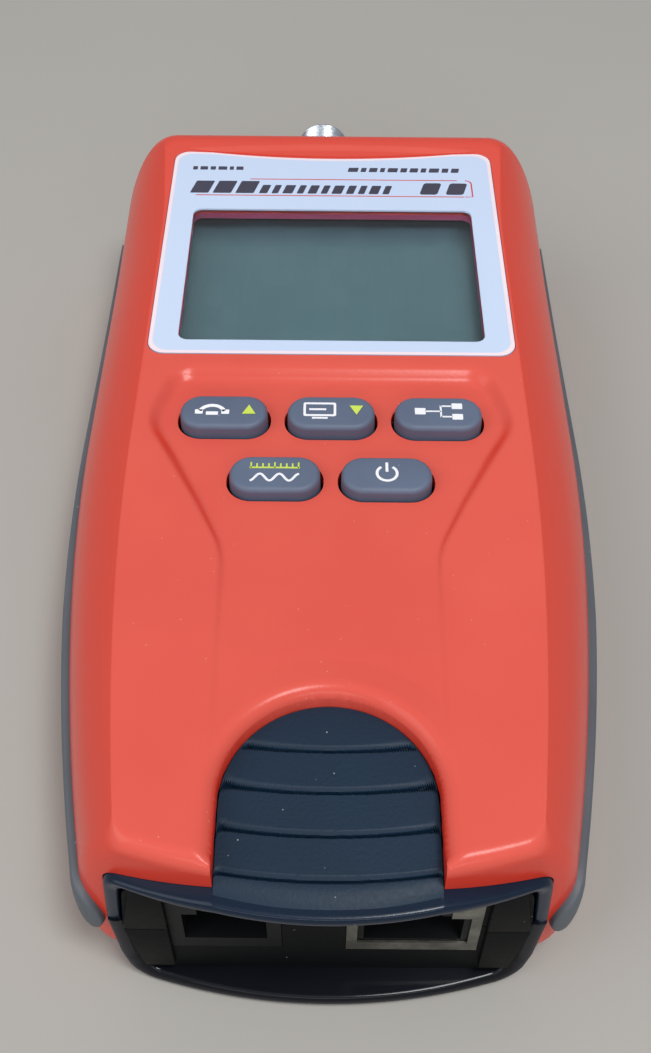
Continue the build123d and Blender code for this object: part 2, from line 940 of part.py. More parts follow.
def along_y(radius, y_from, y_to, x, z):
    return Pos(x, (y_from + y_to) / 2, z) * (Rot(90, 0, 0) * Cylinder(radius, y_to - y_from))


def nut_far_y():
    return far_y + washer_thickness + fit_gap + nut_thickness


def make_connector_body():
    z = connector_z()
    inner_y = far_y - connector_inside
    flange_y = far_y - wall - connector_flange
    thread_y = nut_far_y() + connector_relief
    body = along_y(connector_thread_r, thread_y, tip_y, connector_x, z)
    body = body + along_y(connector_neck_r, flange_y, thread_y, connector_x, z)
    body = body + along_y(connector_flange_r, flange_y, far_y - wall - fit_gap, connector_x, z)
    body = body + along_y(connector_thread_r - 0.8, inner_y, flange_y, connector_x, z)
    body = body - along_y(connector_bore_r, inner_y - 1, tip_y + 1, connector_x, z)
    return body


def make_connector_insulator():
    z = connector_z()
    inner_y = far_y - connector_inside
    plug = along_y(connector_bore_r - fit_gap, inner_y, tip_y - 0.8, connector_x, z)
    return plug - along_y(connector_pin_r + fit_gap, inner_y - 1, tip_y, connector_x, z)


def make_connector_pin():
    inner_y = far_y - connector_inside - 1.0
    return along_y(connector_pin_r, inner_y, tip_y - 1.0, connector_x, connector_z())


def make_connector_washer():
    z = connector_z()
    ring = along_y(washer_r, far_y + fit_gap, far_y + washer_thickness, connector_x, z)
    return ring - along_y(connector_hole_r, far_y - 1, far_y + 3, connector_x, z)


def make_connector_nut():
    z = connector_z()
    start = far_y + washer_thickness + fit_gap
    outline = RegularPolygon(nut_across / 2, 6, major_radius=False)
    plane = Plane((connector_x, start, z), x_dir=(1, 0, 0), z_dir=(0, 1, 0))
    nut = extrude(plane * outline, nut_thickness)
    return nut - along_y(connector_neck_r + fit_gap, far_y - 1, tip_y, connector_x, z)


def make_battery():
    block = box_between(
        (-battery_width / 2, battery_near_y, battery_low),
        (battery_width / 2, battery_far_y, battery_high),
    )
    return fillet(block.edges().filter_by(Axis.Y), 2.0)


def terminal_places():
    middle = (battery_low + battery_high) / 2
    return [(-6.35, middle), (6.35, middle)]


def make_terminals():
    end = battery_near_y
    group = None
    for x, z in terminal_places():
        stud = along_y(2.9, end - battery_stud, end - fit_gap, x, z)
        group = stud if group is None else group + stud
    return group


def make_contact_block():
    # the moulded block that carries the battery's contact springs
    end = bay_near_y
    middle = (battery_low + battery_high) / 2
    return box_between(
        (-battery_width / 2 + 1, end + fit_gap, middle - 6),
        (battery_width / 2 - 1, end + 1.4, middle + 6),
    )


def make_contact_springs():
    start = bay_near_y + 1.4 + fit_gap
    end = battery_near_y - battery_stud - fit_gap
    group = None
    for x, z in terminal_places():
        leaf = box_between((x - 2.2, start, z - 3.5), (x + 2.2, start + 0.4, z + 3.5))
        leaf = leaf + box_between((x - 1.6, start, z - 0.8), (x + 1.6, end, z + 0.8))
        group = leaf if group is None else group + leaf
    return group


def door_hinge():
    # the door turns about the middle of its rounded far edge
    _, far = door_span()
    return far - door_thickness / 2, door_low + door_thickness / 2


def make_battery_door():
    near, far = door_span()
    half = door_half()
    hinge_y, hinge_z = door_hinge()
    panel = box_between((-half, near, door_low), (half, hinge_y, door_high))
    panel = panel + Pos(0, hinge_y, hinge_z) * (Rot(0, 90, 0) * Cylinder(door_thickness / 2, 2 * half))
    for i in range(grip_line_count):
        y = near + grip_line_from_edge + i * grip_line_pitch
        panel = panel - box_between(
            (-grip_line_half, y, door_low - 1),
            (grip_line_half, y + grip_line_width, door_low + grip_line_depth),
        )
    tab_low = door_high + door_tab_gap
    tab_high = door_high + door_tab_rise
    for side in (-1, 1):
        x = side * bay_half * 0.55
        low_x = x - door_tab_width / 2
        high_x = x + door_tab_width / 2
        panel = panel + box_between((low_x, hinge_y, hinge_z), (high_x, far, tab_high))
        panel = panel + box_between((low_x, hinge_y, tab_low), (high_x, far + door_tab, tab_high))
    return panel


def make_foam():
    near, far = door_span()
    return box_between(
        (-bay_half + 2, near + 8, door_high + fit_gap),
        (bay_half - 2, far - 5, battery_low - fit_gap),
    )


def make_case_screws():
    group = None
    for x, y in boss_places():
        head_low = screw_head_recess - fit_gap
        screw = upright(screw_head_r, screw_head_height, x, y, head_low)
        shank_low = head_low + screw_head_height
        screw = screw + upright(screw_r, seam_height + screw_bite - shank_low, x, y, shank_low)
        slot = box_between((x - 1.8, y - 0.35, head_low - 1), (x + 1.8, y + 0.35, head_low + 0.9))
        cross = box_between((x - 0.35, y - 1.8, head_low - 1), (x + 0.35, y + 1.8, head_low + 0.9))
        screw = screw - slot - cross
        group = screw if group is None else group + screw
    return group


def make_board_screws():
    group = None
    for x, y in board_screw_places():
        head_low = board_low - board_screw_head - fit_gap
        screw = upright(board_screw_head_r, board_screw_head, x, y, head_low)
        screw = screw + upright(board_screw_r, board_screw_length, x, y, head_low + board_screw_head)
        slot = box_between((x - 1.3, y - 0.25, head_low - 1), (x + 1.3, y + 0.25, head_low + 0.6))
        screw = screw - slot
        group = screw if group is None else group + screw
    return group


def make_microcontroller():
    y = key_row_y - key_row_pitch - 16.0
    lift = 2 * leg_thick
    body = box_between(
        (-chip_half, y - chip_half, board_high + lift),
        (chip_half, y + chip_half, board_high + lift + chip_height),
    )
    first = -(leg_count - 1) * leg_pitch / 2
    for i in range(leg_count):
        middle = y + first + i * leg_pitch
        for side in (-1, 1):
            x = side * (chip_half + leg_half)
            body = body + box_between(
                (x - leg_half, middle - leg_thick, board_high),
                (x + leg_half, middle + leg_thick, board_high + 0.9),
            )
    return body


def make_crystal():
    y = key_row_y - key_row_pitch - 16.0
    return rounded_block(11.0, 4.6, 2.2, board_high + fit_gap, board_high + 3.4, -18.0, y)


def make_relays():
    group = None
    half = relay_width / 2
    for i in range(3):
        y = bay_far_y + relay_from_bay
        x = -16.0 + i * relay_pitch
        relay = box_between(
            (x - half, y, board_low - relay_height),
            (x + half, y + relay_length, board_low - leg_thick),
        )
        for leg_y in (y + 2.0, y + relay_length - 2.0):
            relay = relay + box_between(
                (x - 2.6, leg_y - 0.3, board_low - leg_thick - 0.1),
                (x - 2.0, leg_y + 0.3, board_low),
            )
        group = relay if group is None else group + relay
    return group


def make_small_components():
    group = None
    for row in range(3):
        for column in range(5):
            x = 8.5 + column * 2.8
            y = key_row_y - key_row_pitch - 12.0 - row * 3.0
            chip = box_between((x - 1.0, y - 0.6, board_high), (x + 1.0, y + 0.6, board_high + 0.6))
            group = chip if group is None else group + chip
    return group


def make_sounder():
    y = bay_near_y - bay_wall - sounder_r - 2.0
    low = board_low - sounder_height - fit_gap
    can = upright(sounder_r, sounder_height, sounder_x, y, low)
    return can - upright(sounder_hole_r, 1.5, sounder_x, y, low - 0.9)


def named_keys():
    names = ["key_left", "key_middle", "key_right", "key_lower_left", "key_lower_right"]
    return list(zip(names, key_places()))


def build_nodes():
    nodes = {
        "front_shell": make_front_shell(),
        "rear_shell": make_rear_shell(),
        "port_shroud_upper": make_shroud_upper(),
        "port_shroud_lower": make_shroud_lower(),
        "side_grip_right": make_grip(1),
        "side_grip_left": make_grip(-1),
        "overlay_label": make_overlay(),
        "display_window": make_window(),
        "display_glass": make_display_glass(),
        "display_backlight": make_backlight(),
        "display_frame": make_display_frame(),
        "display_connector_strips": strip_solids(0.0),
        "keypad_mat": make_keypad_mat(),
        "main_board": make_board(),
        "microcontroller": make_microcontroller(),
        "crystal": make_crystal(),
        "relays": make_relays(),
        "small_components": make_small_components(),
        "sounder": make_sounder(),
        "data_socket_shield": make_data_shield(),
        "data_socket_insert": make_data_insert(),
        "data_socket_contacts": data_contact_solids(0.0),
        "phone_socket": make_phone_jack(),
        "phone_socket_contacts": phone_contact_solids(0.0),
        "coax_connector_body": make_connector_body(),
        "coax_insulator": make_connector_insulator(),
        "coax_centre_contact": make_connector_pin(),
        "coax_washer": make_connector_washer(),
        "coax_nut": make_connector_nut(),
        "battery": make_battery(),
        "battery_terminals": make_terminals(),
        "battery_contact_block": make_contact_block(),
        "battery_contact_springs": make_contact_springs(),
        "battery_door": make_battery_door(),
        "battery_foam_pad": make_foam(),
        "case_screws": make_case_screws(),
        "board_screws": make_board_screws(),
    }
    for name, (x, y) in named_keys():
        nodes[name] = make_key(x, y)
        nodes[name + "_pill"] = make_pill(x, y)
    return nodes


os.makedirs("parts", exist_ok=True)
for name, shape in build_nodes().items():
    export_step(shape, "parts/" + name + ".step")
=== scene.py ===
import math
import bmesh
import bpy
import mathutils
import numpy as np
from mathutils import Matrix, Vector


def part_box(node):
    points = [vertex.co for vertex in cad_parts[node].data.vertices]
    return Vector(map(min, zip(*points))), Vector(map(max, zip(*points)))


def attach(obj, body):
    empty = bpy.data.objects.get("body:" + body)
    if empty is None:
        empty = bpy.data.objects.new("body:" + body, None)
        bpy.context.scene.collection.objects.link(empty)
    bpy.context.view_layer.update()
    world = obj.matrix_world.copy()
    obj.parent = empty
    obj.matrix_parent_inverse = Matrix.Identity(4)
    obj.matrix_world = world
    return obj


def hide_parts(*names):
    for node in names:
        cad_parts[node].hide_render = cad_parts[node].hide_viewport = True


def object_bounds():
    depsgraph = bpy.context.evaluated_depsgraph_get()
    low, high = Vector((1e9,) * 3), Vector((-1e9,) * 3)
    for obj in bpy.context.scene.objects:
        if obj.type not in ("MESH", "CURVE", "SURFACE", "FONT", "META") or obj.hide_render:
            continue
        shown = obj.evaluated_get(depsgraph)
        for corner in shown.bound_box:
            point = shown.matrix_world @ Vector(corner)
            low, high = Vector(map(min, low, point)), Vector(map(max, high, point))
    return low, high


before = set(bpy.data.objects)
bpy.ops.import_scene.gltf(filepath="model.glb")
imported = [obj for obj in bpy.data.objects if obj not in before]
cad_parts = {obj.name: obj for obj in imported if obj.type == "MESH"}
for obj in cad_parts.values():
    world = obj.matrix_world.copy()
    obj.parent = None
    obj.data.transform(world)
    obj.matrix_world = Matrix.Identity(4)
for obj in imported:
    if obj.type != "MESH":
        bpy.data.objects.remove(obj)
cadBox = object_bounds()
mm = 0.001


def boxOf(node):
    # a node's lowest and highest corners in millimetres
    low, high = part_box(node)
    return np.array(low) / mm, np.array(high) / mm


shellLow, shellHigh = boxOf("front_shell")
labelLow, labelHigh = boxOf("overlay_label")
windowLow, windowHigh = boxOf("display_window")
shroudLow = boxOf("port_shroud_upper")[0]
dataLow, dataHigh = boxOf("data_socket_shield")
phoneLow, phoneHigh = boxOf("phone_socket")
doorLow, doorHigh = boxOf("battery_door")
nutLow, nutHigh = boxOf("coax_nut")
coaxLow, coaxHigh = boxOf("coax_connector_body")

case = {
    "halfWidth": shellHigh[0],
    "farY": shellHigh[1],
    "frontY": shroudLow[1],
    "deckZ": shellHigh[2],
    "seamZ": shellLow[2],
    "wall": 2.2,
    "shoulderRun": 10.4,
    "taperFromFront": 83.1,
    "sideRadius": 320.0,
    "deckTaperFromFront": 68.0,
    "deckSideRadius": 400.0,
    "noseSetback": 3.0,
    "noseRadius": 77.0,
    "farRound": 8.0,
    "frontRound": 2.0,
    "farCorner": 6.5,
    "deckFarCorner": 2.8,
    "frontCorner": 5.0,
    "deckFrontCorner": 3.0,
    "rearRound": 6.0,
    "fullStartY": 34.0,
    "fullness": 2.0,
}
case["taperY"] = case["frontY"] + case["taperFromFront"]
case["deckTaperY"] = case["frontY"] + case["deckTaperFromFront"]
case["shellFrontY"] = case["frontY"] + case["noseSetback"]
case["deckHalf"] = case["halfWidth"] - case["shoulderRun"]


def addMesh(name, verts, faces, smooth=True):
    # verts are in millimetres, faces are rows of vertex numbers
    mesh = bpy.data.meshes.new(name)
    mesh.from_pydata((np.asarray(verts) * mm).tolist(), [], faces)
    mesh.update()
    if smooth:
        mesh.polygons.foreach_set("use_smooth", np.ones(len(mesh.polygons), bool))
    piece = bpy.data.objects.new(name, mesh)
    bpy.context.scene.collection.objects.link(piece)
    return piece


def gridFaces(rows, columns, closeRows=False, closeColumns=False, start=0):
    # quads between neighbouring rows and columns of a grid of points
    i = np.arange(rows if closeRows else rows - 1)
    j = np.arange(columns if closeColumns else columns - 1)
    i, j = np.meshgrid(i, j, indexing="ij")
    a = i * columns + j
    b = i * columns + (j + 1) % columns
    c = ((i + 1) % rows) * columns + (j + 1) % columns
    d = ((i + 1) % rows) * columns + j
    return (np.stack([a, b, c, d], -1).reshape(-1, 4) + start).tolist()


def gridPiece(name, points, closeRows=False, closeColumns=False, capStart=False, capEnd=False):
    # points has shape (rows, columns, 3); caps are single faces over the first or last row
    rows, columns = points.shape[:2]
    faces = gridFaces(rows, columns, closeRows, closeColumns)
    if capStart:
        faces.append(list(range(columns))[::-1])
    if capEnd:
        faces.append([(rows - 1) * columns + j for j in range(columns)])
    return addMesh(name, points.reshape(-1, 3), faces)


def makeOutward(piece):
    # turns every face outwards and drops doubled points
    work = bmesh.new()
    work.from_mesh(piece.data)
    bmesh.ops.remove_doubles(work, verts=work.verts, dist=1e-6)
    bmesh.ops.recalc_face_normals(work, faces=work.faces)
    work.to_mesh(piece.data)
    work.free()
    return piece


def joinPieces(name, pieces):
    # one object from several, in the order given
    verts = []
    faces = []
    count = 0
    for piece in pieces:
        mesh = piece.data
        points = np.zeros(len(mesh.vertices) * 3)
        mesh.vertices.foreach_get("co", points)
        verts.append(points.reshape(-1, 3))
        faces += [[v + count for v in polygon.vertices] for polygon in mesh.polygons]
        count += len(mesh.vertices)
        bpy.data.objects.remove(piece)
    return addMesh(name, np.concatenate(verts) / mm, faces)


def applyModifiers(piece):
    bpy.context.view_layer.update()
    graph = bpy.context.evaluated_depsgraph_get()
    mesh = bpy.data.meshes.new_from_object(piece.evaluated_get(graph))
    piece.modifiers.clear()
    piece.data = mesh
    return piece


def cutWith(piece, cutters):
    # takes the cutters' volume out of the piece, then removes them
    group = bpy.data.collections.new(piece.name + "Cutters")
    bpy.context.scene.collection.children.link(group)
    for cutter in cutters:
        group.objects.link(cutter)
    cut = piece.modifiers.new("cut", "BOOLEAN")
    cut.operation = "DIFFERENCE"
    cut.solver = "EXACT"
    cut.operand_type = "COLLECTION"
    cut.collection = group
    applyModifiers(piece)
    for cutter in cutters:
        bpy.data.objects.remove(cutter)
    bpy.data.collections.remove(group)
    return piece


def smoothByAngle(piece, degrees=35.0):
    # smooth shading, with crisp edges where faces meet at more than this angle
    mesh = piece.data
    mesh.polygons.foreach_set("use_smooth", np.ones(len(mesh.polygons), bool))
    mesh.set_sharp_from_angle(angle=math.radians(degrees))
    return piece


def softenEdges(piece, width, segments=3, degrees=35.0):
    # a small round on every crisp edge
    bevel = piece.modifiers.new("edgeRound", "BEVEL")
    bevel.width = width * mm
    bevel.segments = segments
    bevel.limit_method = "ANGLE"
    bevel.angle_limit = math.radians(degrees)
    bevel.harden_normals = True
    return piece


def hollowShell(name, outer, inner):
    # an outer and an inner skin, each rows of closed outlines, joined by a band along their first rows
    columns = outer.shape[1]
    start = outer.shape[0] * columns
    faces = gridFaces(outer.shape[0], columns, closeColumns=True)
    faces += [face[::-1] for face in gridFaces(inner.shape[0], columns, closeColumns=True, start=start)]
    j = np.arange(columns)
    after = (j + 1) % columns
    faces += np.stack([j, j + start, after + start, after], -1).tolist()
    return makeOutward(addMesh(name, np.concatenate([outer.reshape(-1, 3), inner.reshape(-1, 3)]), faces))


def turnedPiece(name, node, turns, radii, ys):
    # a closed profile turned about the axis of a connector's node; radii has shape (rows, turns)
    low, high = boxOf(node)
    x = (low[0] + high[0]) / 2 + radii * np.cos(turns)
    z = (low[2] + high[2]) / 2 + radii * np.sin(turns)
    points = np.stack([x, np.broadcast_to(ys[:, None], radii.shape), z], -1)
    return makeOutward(gridPiece(name, points, closeRows=True, closeColumns=True))


def roundRun(radius, below):
    # how far a rounded edge has come in at this depth below its top
    below = np.clip(below, 0, radius)
    return radius - np.sqrt(radius ** 2 - (radius - below) ** 2)


def caseOutline(half, taper, side, far, front, farR, frontR, fine=1.0):
    # Closed outline in plan: from the front's middle along the bowed front edge, round the corner
    # circle that touches both arcs, along the curved side, the straight side, round the far corner to
    # the far edge's middle, and back mirrored. Every input may be an array.
    values = np.broadcast_arrays(half, taper, side, far, front, farR, frontR)
    half, taper, side, far, front, farR, frontR = [np.atleast_1d(v).astype(float) for v in values]
    nose = case["noseRadius"]
    ax, ay = half - side, taper
    by = front + nose
    p, q = side - frontR, nose - frontR
    gap = np.hypot(ax, ay - by)
    ux, uy = -ax / gap, (by - ay) / gap
    along = (p ** 2 - q ** 2 + gap ** 2) / (2 * gap)
    off = np.sqrt(p ** 2 - along ** 2)
    cx, cy = ax + along * ux - off * -uy, ay + along * uy - off * ux
    flip = cy > by
    cx = np.where(flip, ax + along * ux + off * -uy, cx)
    cy = np.where(flip, ay + along * uy + off * ux, cy)
    sideAngle = np.arctan2(cy - ay, cx - ax)
    noseAngle = np.arctan2(cy - by, cx)

    def steps(count):
        return np.linspace(0, 1, int(count * fine), endpoint=False)

    def arc(x, y, radius, fromAngle, toAngle, share):
        angle = fromAngle[:, None] + (toAngle - fromAngle)[:, None] * share[None]
        return np.stack([x[:, None] + radius[:, None] * np.cos(angle),
                         y[:, None] + radius[:, None] * np.sin(angle)], -1)

    def line(x0, y0, x1, y1, share):
        return np.stack([x0[:, None] + (x1 - x0)[:, None] * share,
                         y0[:, None] + (y1 - y0)[:, None] * share], -1)

    zero = np.zeros_like(half)
    quarter = zero + math.pi / 2
    right = np.concatenate([
        arc(zero, by, zero + nose, -quarter, noseAngle, steps(44)),
        arc(cx, cy, frontR, noseAngle, sideAngle, steps(24)),
        arc(ax, ay, side, sideAngle, zero, steps(130)),
        line(half, taper, half, far - farR, steps(96)),
        arc(half - farR, far - farR, farR, zero, quarter, steps(24)),
        line(half - farR, far, zero, far, steps(44)),
        line(zero, far, zero, far, np.array([0.0])),
    ], 1)
    left = right[:, -2:0:-1] * np.array([-1, 1])
    return np.concatenate([right, left], 1)


def upperRows(inset, shares):
    # outlines of the upper half at these shares of its height; returns points (rows, n, 3)
    top = case["deckZ"] - inset
    height = case["seamZ"] + (top - case["seamZ"]) * shares
    fall = 1 - (1 - shares ** 2) ** 0.97
    below = top - height

    def mixed(a, b):
        return case[a] + (case[b] - case[a]) * fall

    outline = caseOutline(
        mixed("halfWidth", "deckHalf") - inset,
        mixed("taperY", "deckTaperY"),
        mixed("sideRadius", "deckSideRadius") - inset,
        case["farY"] - inset - roundRun(case["farRound"], below),
        case["shellFrontY"] + inset + roundRun(case["frontRound"], below),
        np.maximum(mixed("farCorner", "deckFarCorner") - inset / 2, 1.0),
        np.maximum(mixed("frontCorner", "deckFrontCorner") - inset / 2, 1.0),
    )
    # the shoulders are fuller towards the far end
    near = np.clip((outline[..., 1] - case["fullStartY"]) / (case["farY"] - case["fullStartY"]), 0, 1)
    near = near * near * (3 - 2 * near)
    outline[..., 0] += case["fullness"] * near * (fall ** 0.7)[:, None] * np.clip(outline[..., 0] / 12, -1, 1)
    z = np.broadcast_to(height[:, None, None], outline.shape[:2] + (1,))
    return np.concatenate([outline, z], -1)


def segmentDistance(points, loop):
    # signed distance to a closed polyline, negative inside
    a = loop
    b = np.roll(loop, -1, 0)
    edge = b - a
    best = np.full(len(points), 1e9)
    inside = np.zeros(len(points), bool)
    for p, q, e in zip(a, b, edge):
        rel = points - p
        t = np.clip(rel @ e / (e @ e), 0, 1)
        best = np.minimum(best, np.hypot(*(rel - t[:, None] * e).T))
        crosses = (p[1] > points[:, 1]) != (q[1] > points[:, 1])
        with np.errstate(divide="ignore", invalid="ignore"):
            at = p[0] + (points[:, 1] - p[1]) / (q[1] - p[1]) * (q[0] - p[0])
        inside ^= crosses & (points[:, 0] < at)
    return np.where(inside, -best, best)


def roundedLoop(corners, radii, count=10):
    # polygon with each corner replaced by an arc that touches both of its sides
    corners = np.array(corners, float)
    loop = []
    for i, corner in enumerate(corners):
        before = corners[i - 1] - corner
        after = corners[(i + 1) % len(corners)] - corner
        lengthB, lengthA = np.linalg.norm(before), np.linalg.norm(after)
        before, after = before / lengthB, after / lengthA
        half = math.acos(np.clip(before @ after, -1, 1)) / 2
        radius = radii[i]
        reach = min(radius / math.tan(half), 0.49 * lengthB, 0.49 * lengthA)
        radius = reach * math.tan(half)
        middle = (before + after) / np.linalg.norm(before + after) * radius / math.sin(half)
        start = corner + before * reach - (corner + middle)
        end = corner + after * reach - (corner + middle)
        turn = math.atan2(start[0] * end[1] - start[1] * end[0], start @ end)
        angle = math.atan2(start[1], start[0]) + np.linspace(0, 1, count) * turn
        arc = np.stack([np.cos(angle), np.sin(angle)], -1) * radius
        loop.append(corner + middle + arc)
    return np.concatenate(loop)


def boxCutter(name, low, high):
    xs, ys, zs = zip(low, high)
    around = ((xs[0], ys[0]), (xs[1], ys[0]), (xs[1], ys[1]), (xs[0], ys[1]))
    points = [[x, y, z] for z in zs for x, y in around]
    faces = [[3, 2, 1, 0], [4, 5, 6, 7], [0, 1, 5, 4], [1, 2, 6, 5], [2, 3, 7, 6], [3, 0, 4, 7]]
    return addMesh(name, points, faces, smooth=False)


def prismCutter(name, loop, low, high):
    # upright prism over a closed loop
    loop = np.asarray(loop)
    ring = np.stack([np.column_stack([loop, np.full(len(loop), z)]) for z in (low, high)])
    return makeOutward(gridPiece(name, ring, closeColumns=True, capStart=True, capEnd=True))


def frontPrism(name, loop, near, far):
    # prism over a closed loop of x and z, running from near to far along y
    loop = np.asarray(loop)
    ring = np.stack([np.column_stack([loop[:, 0], np.full(len(loop), y), loop[:, 1]]) for y in (near, far)])
    return makeOutward(gridPiece(name, ring, closeColumns=True, capStart=True, capEnd=True))


arch = {"radius": 12.5, "fromFront": 13.35, "roll": 2.3, "gap": 0.12}
arch["y"] = case["frontY"] + arch["fromFront"]

keys = {
    "names": ["key_left", "key_middle", "key_right", "key_lower_left", "key_lower_right"],
    "gap": 0.3,
    "corner": 3.2,
}

pocket = {
    "margin": 1.5,
    "fromLabel": 2.4,
    "depthFar": 1.6,
    "depthNear": 0.32,
    "neckHalf": 14.4,
    "neckNearHalf": 13.8,
    "slopeFar": 2.5,
    "slopeSide": 1.6,
    "slopeNeck": 0.9,
}


quarters = ((1, 1), (-1, 1), (-1, -1), (1, -1))


def keyMiddle(name):
    low, high = boxOf(name)
    return (low + high) / 2


def pocketLoop():
    wide = case["deckHalf"] - pocket["margin"]
    neck = pocket["neckHalf"]
    rowY = keyMiddle("key_left")[1]
    lowRow = keyMiddle("key_lower_left")[1]
    farY = labelLow[1] - pocket["fromLabel"]
    right = [
        (pocket["neckNearHalf"], arch["y"] - 2),
        (neck, lowRow - 12.5),
        (neck + (wide - neck) * 0.32, lowRow - 4.5),
        (wide, rowY - 1.0),
        (wide - 3.0, farY),
    ]
    left = [(-x, y) for x, y in reversed(right)]
    radii = [1, 14, 14, 8, 4.5]
    return roundedLoop(right + left, radii + radii[::-1], 12), farY


def deckHeight(points):
    # Height of the deck over a point in plan: flat, less the rolled rim round the thumb arch, the
    # keypad pocket with its sloped walls, and the shallow dip above the overlay.
    x, y = points.T
    z = np.full(len(points), case["deckZ"])
    fromArch = np.where(y > arch["y"], np.hypot(x, y - arch["y"]), np.abs(x)) - arch["radius"]
    z -= roundRun(arch["roll"], np.clip(fromArch, 0, None)) * (fromArch < arch["roll"]) * 0.92
    z = np.where(fromArch < 0, case["deckZ"] - arch["roll"] * 0.92, z)
    loop, farY = pocketLoop()
    inside = -segmentDistance(points, loop)
    nearFar = np.clip((y - (farY - 9.0)) / 9.0, 0, 1)
    widening = np.clip((y - keyMiddle("key_lower_left")[1] + 10) / 14, 0, 1)
    slope = pocket["slopeNeck"] + (pocket["slopeSide"] - pocket["slopeNeck"]) * widening
    slope += (pocket["slopeFar"] - slope) * nearFar ** 2
    ramp = np.clip(inside / slope, 0, 1)
    ramp = ramp * ramp * (3 - 2 * ramp) * 0.25 + ramp * 0.75
    archTop = arch["y"] + arch["radius"]
    share = np.clip((y - archTop - 6) / (farY - archTop - 6), 0, 1)
    depth = pocket["depthNear"] + (pocket["depthFar"] - pocket["depthNear"]) * share
    fade = np.clip((fromArch - 1.0) / 4.0, 0, 1)
    z -= depth * ramp * fade
    acrossDip = np.clip(1 - (x / 25.0) ** 2, 0, 1)
    dipNear = labelHigh[1] - 2.0 * acrossDip + 0.5
    dipFar = dipNear + 0.4 + 3.4 * acrossDip
    within = np.clip(np.minimum(y - dipNear, dipFar - y) / 0.9, 0, 1)
    z -= 0.45 * within * (3 - 2 * within) * within * (acrossDip > 0)
    return z


def shellSkin(inset, shoulderShares, rows):
    # One skin of the shell: rows of outlines up the shoulder, then rows that run from the crease to a
    # spine on the middle line, where the deck's own height takes over.
    shoulder = upperRows(inset, shoulderShares)
    crease = shoulder[-1]
    spineLow, spineHigh = crease[:, 1].min() + 26, crease[:, 1].max() - 26
    spine = np.column_stack([np.zeros(len(crease)), np.clip(crease[:, 1], spineLow, spineHigh)])
    share = np.linspace(0, 1, rows + 1)[1:]
    plan = crease[None, :, :2] * (1 - share)[:, None, None] + spine[None] * share[:, None, None]
    flat = plan.reshape(-1, 2)
    height = deckHeight(flat) - inset
    deck = np.concatenate([plan, height.reshape(plan.shape[:2] + (1,))], -1)
    shoulderTop = deckHeight(shoulder[-1][:, :2]) - inset
    drop = np.clip(case["deckZ"] - inset - shoulderTop, 0, None)
    for row in range(len(shoulder)):
        near = np.clip(1 - (len(shoulder) - 1 - row) / 4, 0, 1)
        shoulder[row][:, 2] -= drop * near
    return np.concatenate([shoulder, deck])


def archCutter(extra):
    radius = arch["radius"] + extra
    angle = np.linspace(0, math.pi, 65)
    top = np.stack([radius * np.cos(angle), arch["y"] + radius * np.sin(angle)], -1)
    loop = np.concatenate([top, [[-radius, case["frontY"] - 8], [radius, case["frontY"] - 8]]])
    return prismCutter("archCutter", loop, 10, case["deckZ"] + 6)


def keyCutters():
    cutters = []
    for name in keys["names"]:
        x, y, _ = keyMiddle(name)
        halfX, halfY = np.array(keySize(name)) + keys["gap"]
        corners = [(x + halfX * sx, y + halfY * sy) for sx, sy in quarters]
        loop = roundedLoop(corners, [keys["corner"] + keys["gap"]] * 4, 12)
        cutters.append(prismCutter("keyCutter", loop, 26, case["deckZ"] + 4))
    return cutters


def keySize(name):
    # half width and half depth of the cap, without its hidden flange
    low, high = boxOf(name)
    return (high[0] - low[0]) / 2 - 1.08, (high[1] - low[1]) / 2 - 1.2


def labelLoop(grow):
    # straight near edge and sides, far edge bowed towards the display
    half = labelHigh[0] + grow
    near, far = labelLow[1] - grow, labelHigh[1] + grow
    corner = 2.5
    bow = np.linspace(0.9, -0.9, 21)
    sag = 2.1
    lowBox = [(-half, near), (half, near), (half, near + 10), (-half, near + 10)]
    highBox = [(half, near + 10), (half, far), (half - 10, far - sag * 0.4), (half - 10, near + 10)]
    bottom = roundedLoop(lowBox, [corner] * 4, 8)[:16]
    topRight = roundedLoop(highBox, [0.1, corner, 0.1, 0.1], 8)[8:16]
    middle = np.stack([bow * (half - 4), far - sag * (1 - bow ** 2) * 0.98], -1)
    topLeft = topRight[::-1] * [-1, 1]
    return np.concatenate([bottom, topRight, middle, topLeft])


def windowLoop(grow):
    lens = 1.2
    x0, y0 = windowLow[0] + lens - grow, windowLow[1] + lens - grow
    x1, y1 = windowHigh[0] - lens + grow, windowHigh[1] - lens + grow
    return roundedLoop([(x0, y0), (x1, y0), (x1, y1), (x0, y1)], [1.5] * 4, 8)


shroud = {
    "widestZ": 15.5,
    "lowZ": 6.0,
    "baseZ": 0.3,
    "baseHalf": 24.4,
    "topSideZ": 27.0,
    "topMidZ": 30.1,
    "topHalf": 25.3,
    "wall": 2.0,
    "upperWall": 1.7,
    "lipRadius": 55.0,
    "lowerSetback": 1.8,
    "partingZ": 15.5,
    "mouthDepth": 6.0,
    "half": 26.2,
    "rim": 0.7,
}
shroud["panelY"] = case["frontY"] + shroud["mouthDepth"]


def shroudLoop(grow, count=8):
    # the socket shroud seen from the front: wide in the middle, flat below, humped above
    half = shroud["half"] + grow
    lowHalf = half - 0.6
    corners = [
        (shroud["baseHalf"] + grow, shroud["baseZ"] - grow),
        (lowHalf, shroud["lowZ"]),
        (half, shroud["widestZ"]),
        (min(shroud["topHalf"], shroud["half"]) + grow, shroud["topSideZ"] + grow),
        (arch["radius"], shroud["topMidZ"] + grow),
    ]
    corners += [(-x, z) for x, z in reversed(corners)]
    radii = [3.5, 6.0, 8.0, 2.6, 2.0]
    return roundedLoop(corners, radii + radii[::-1], count)


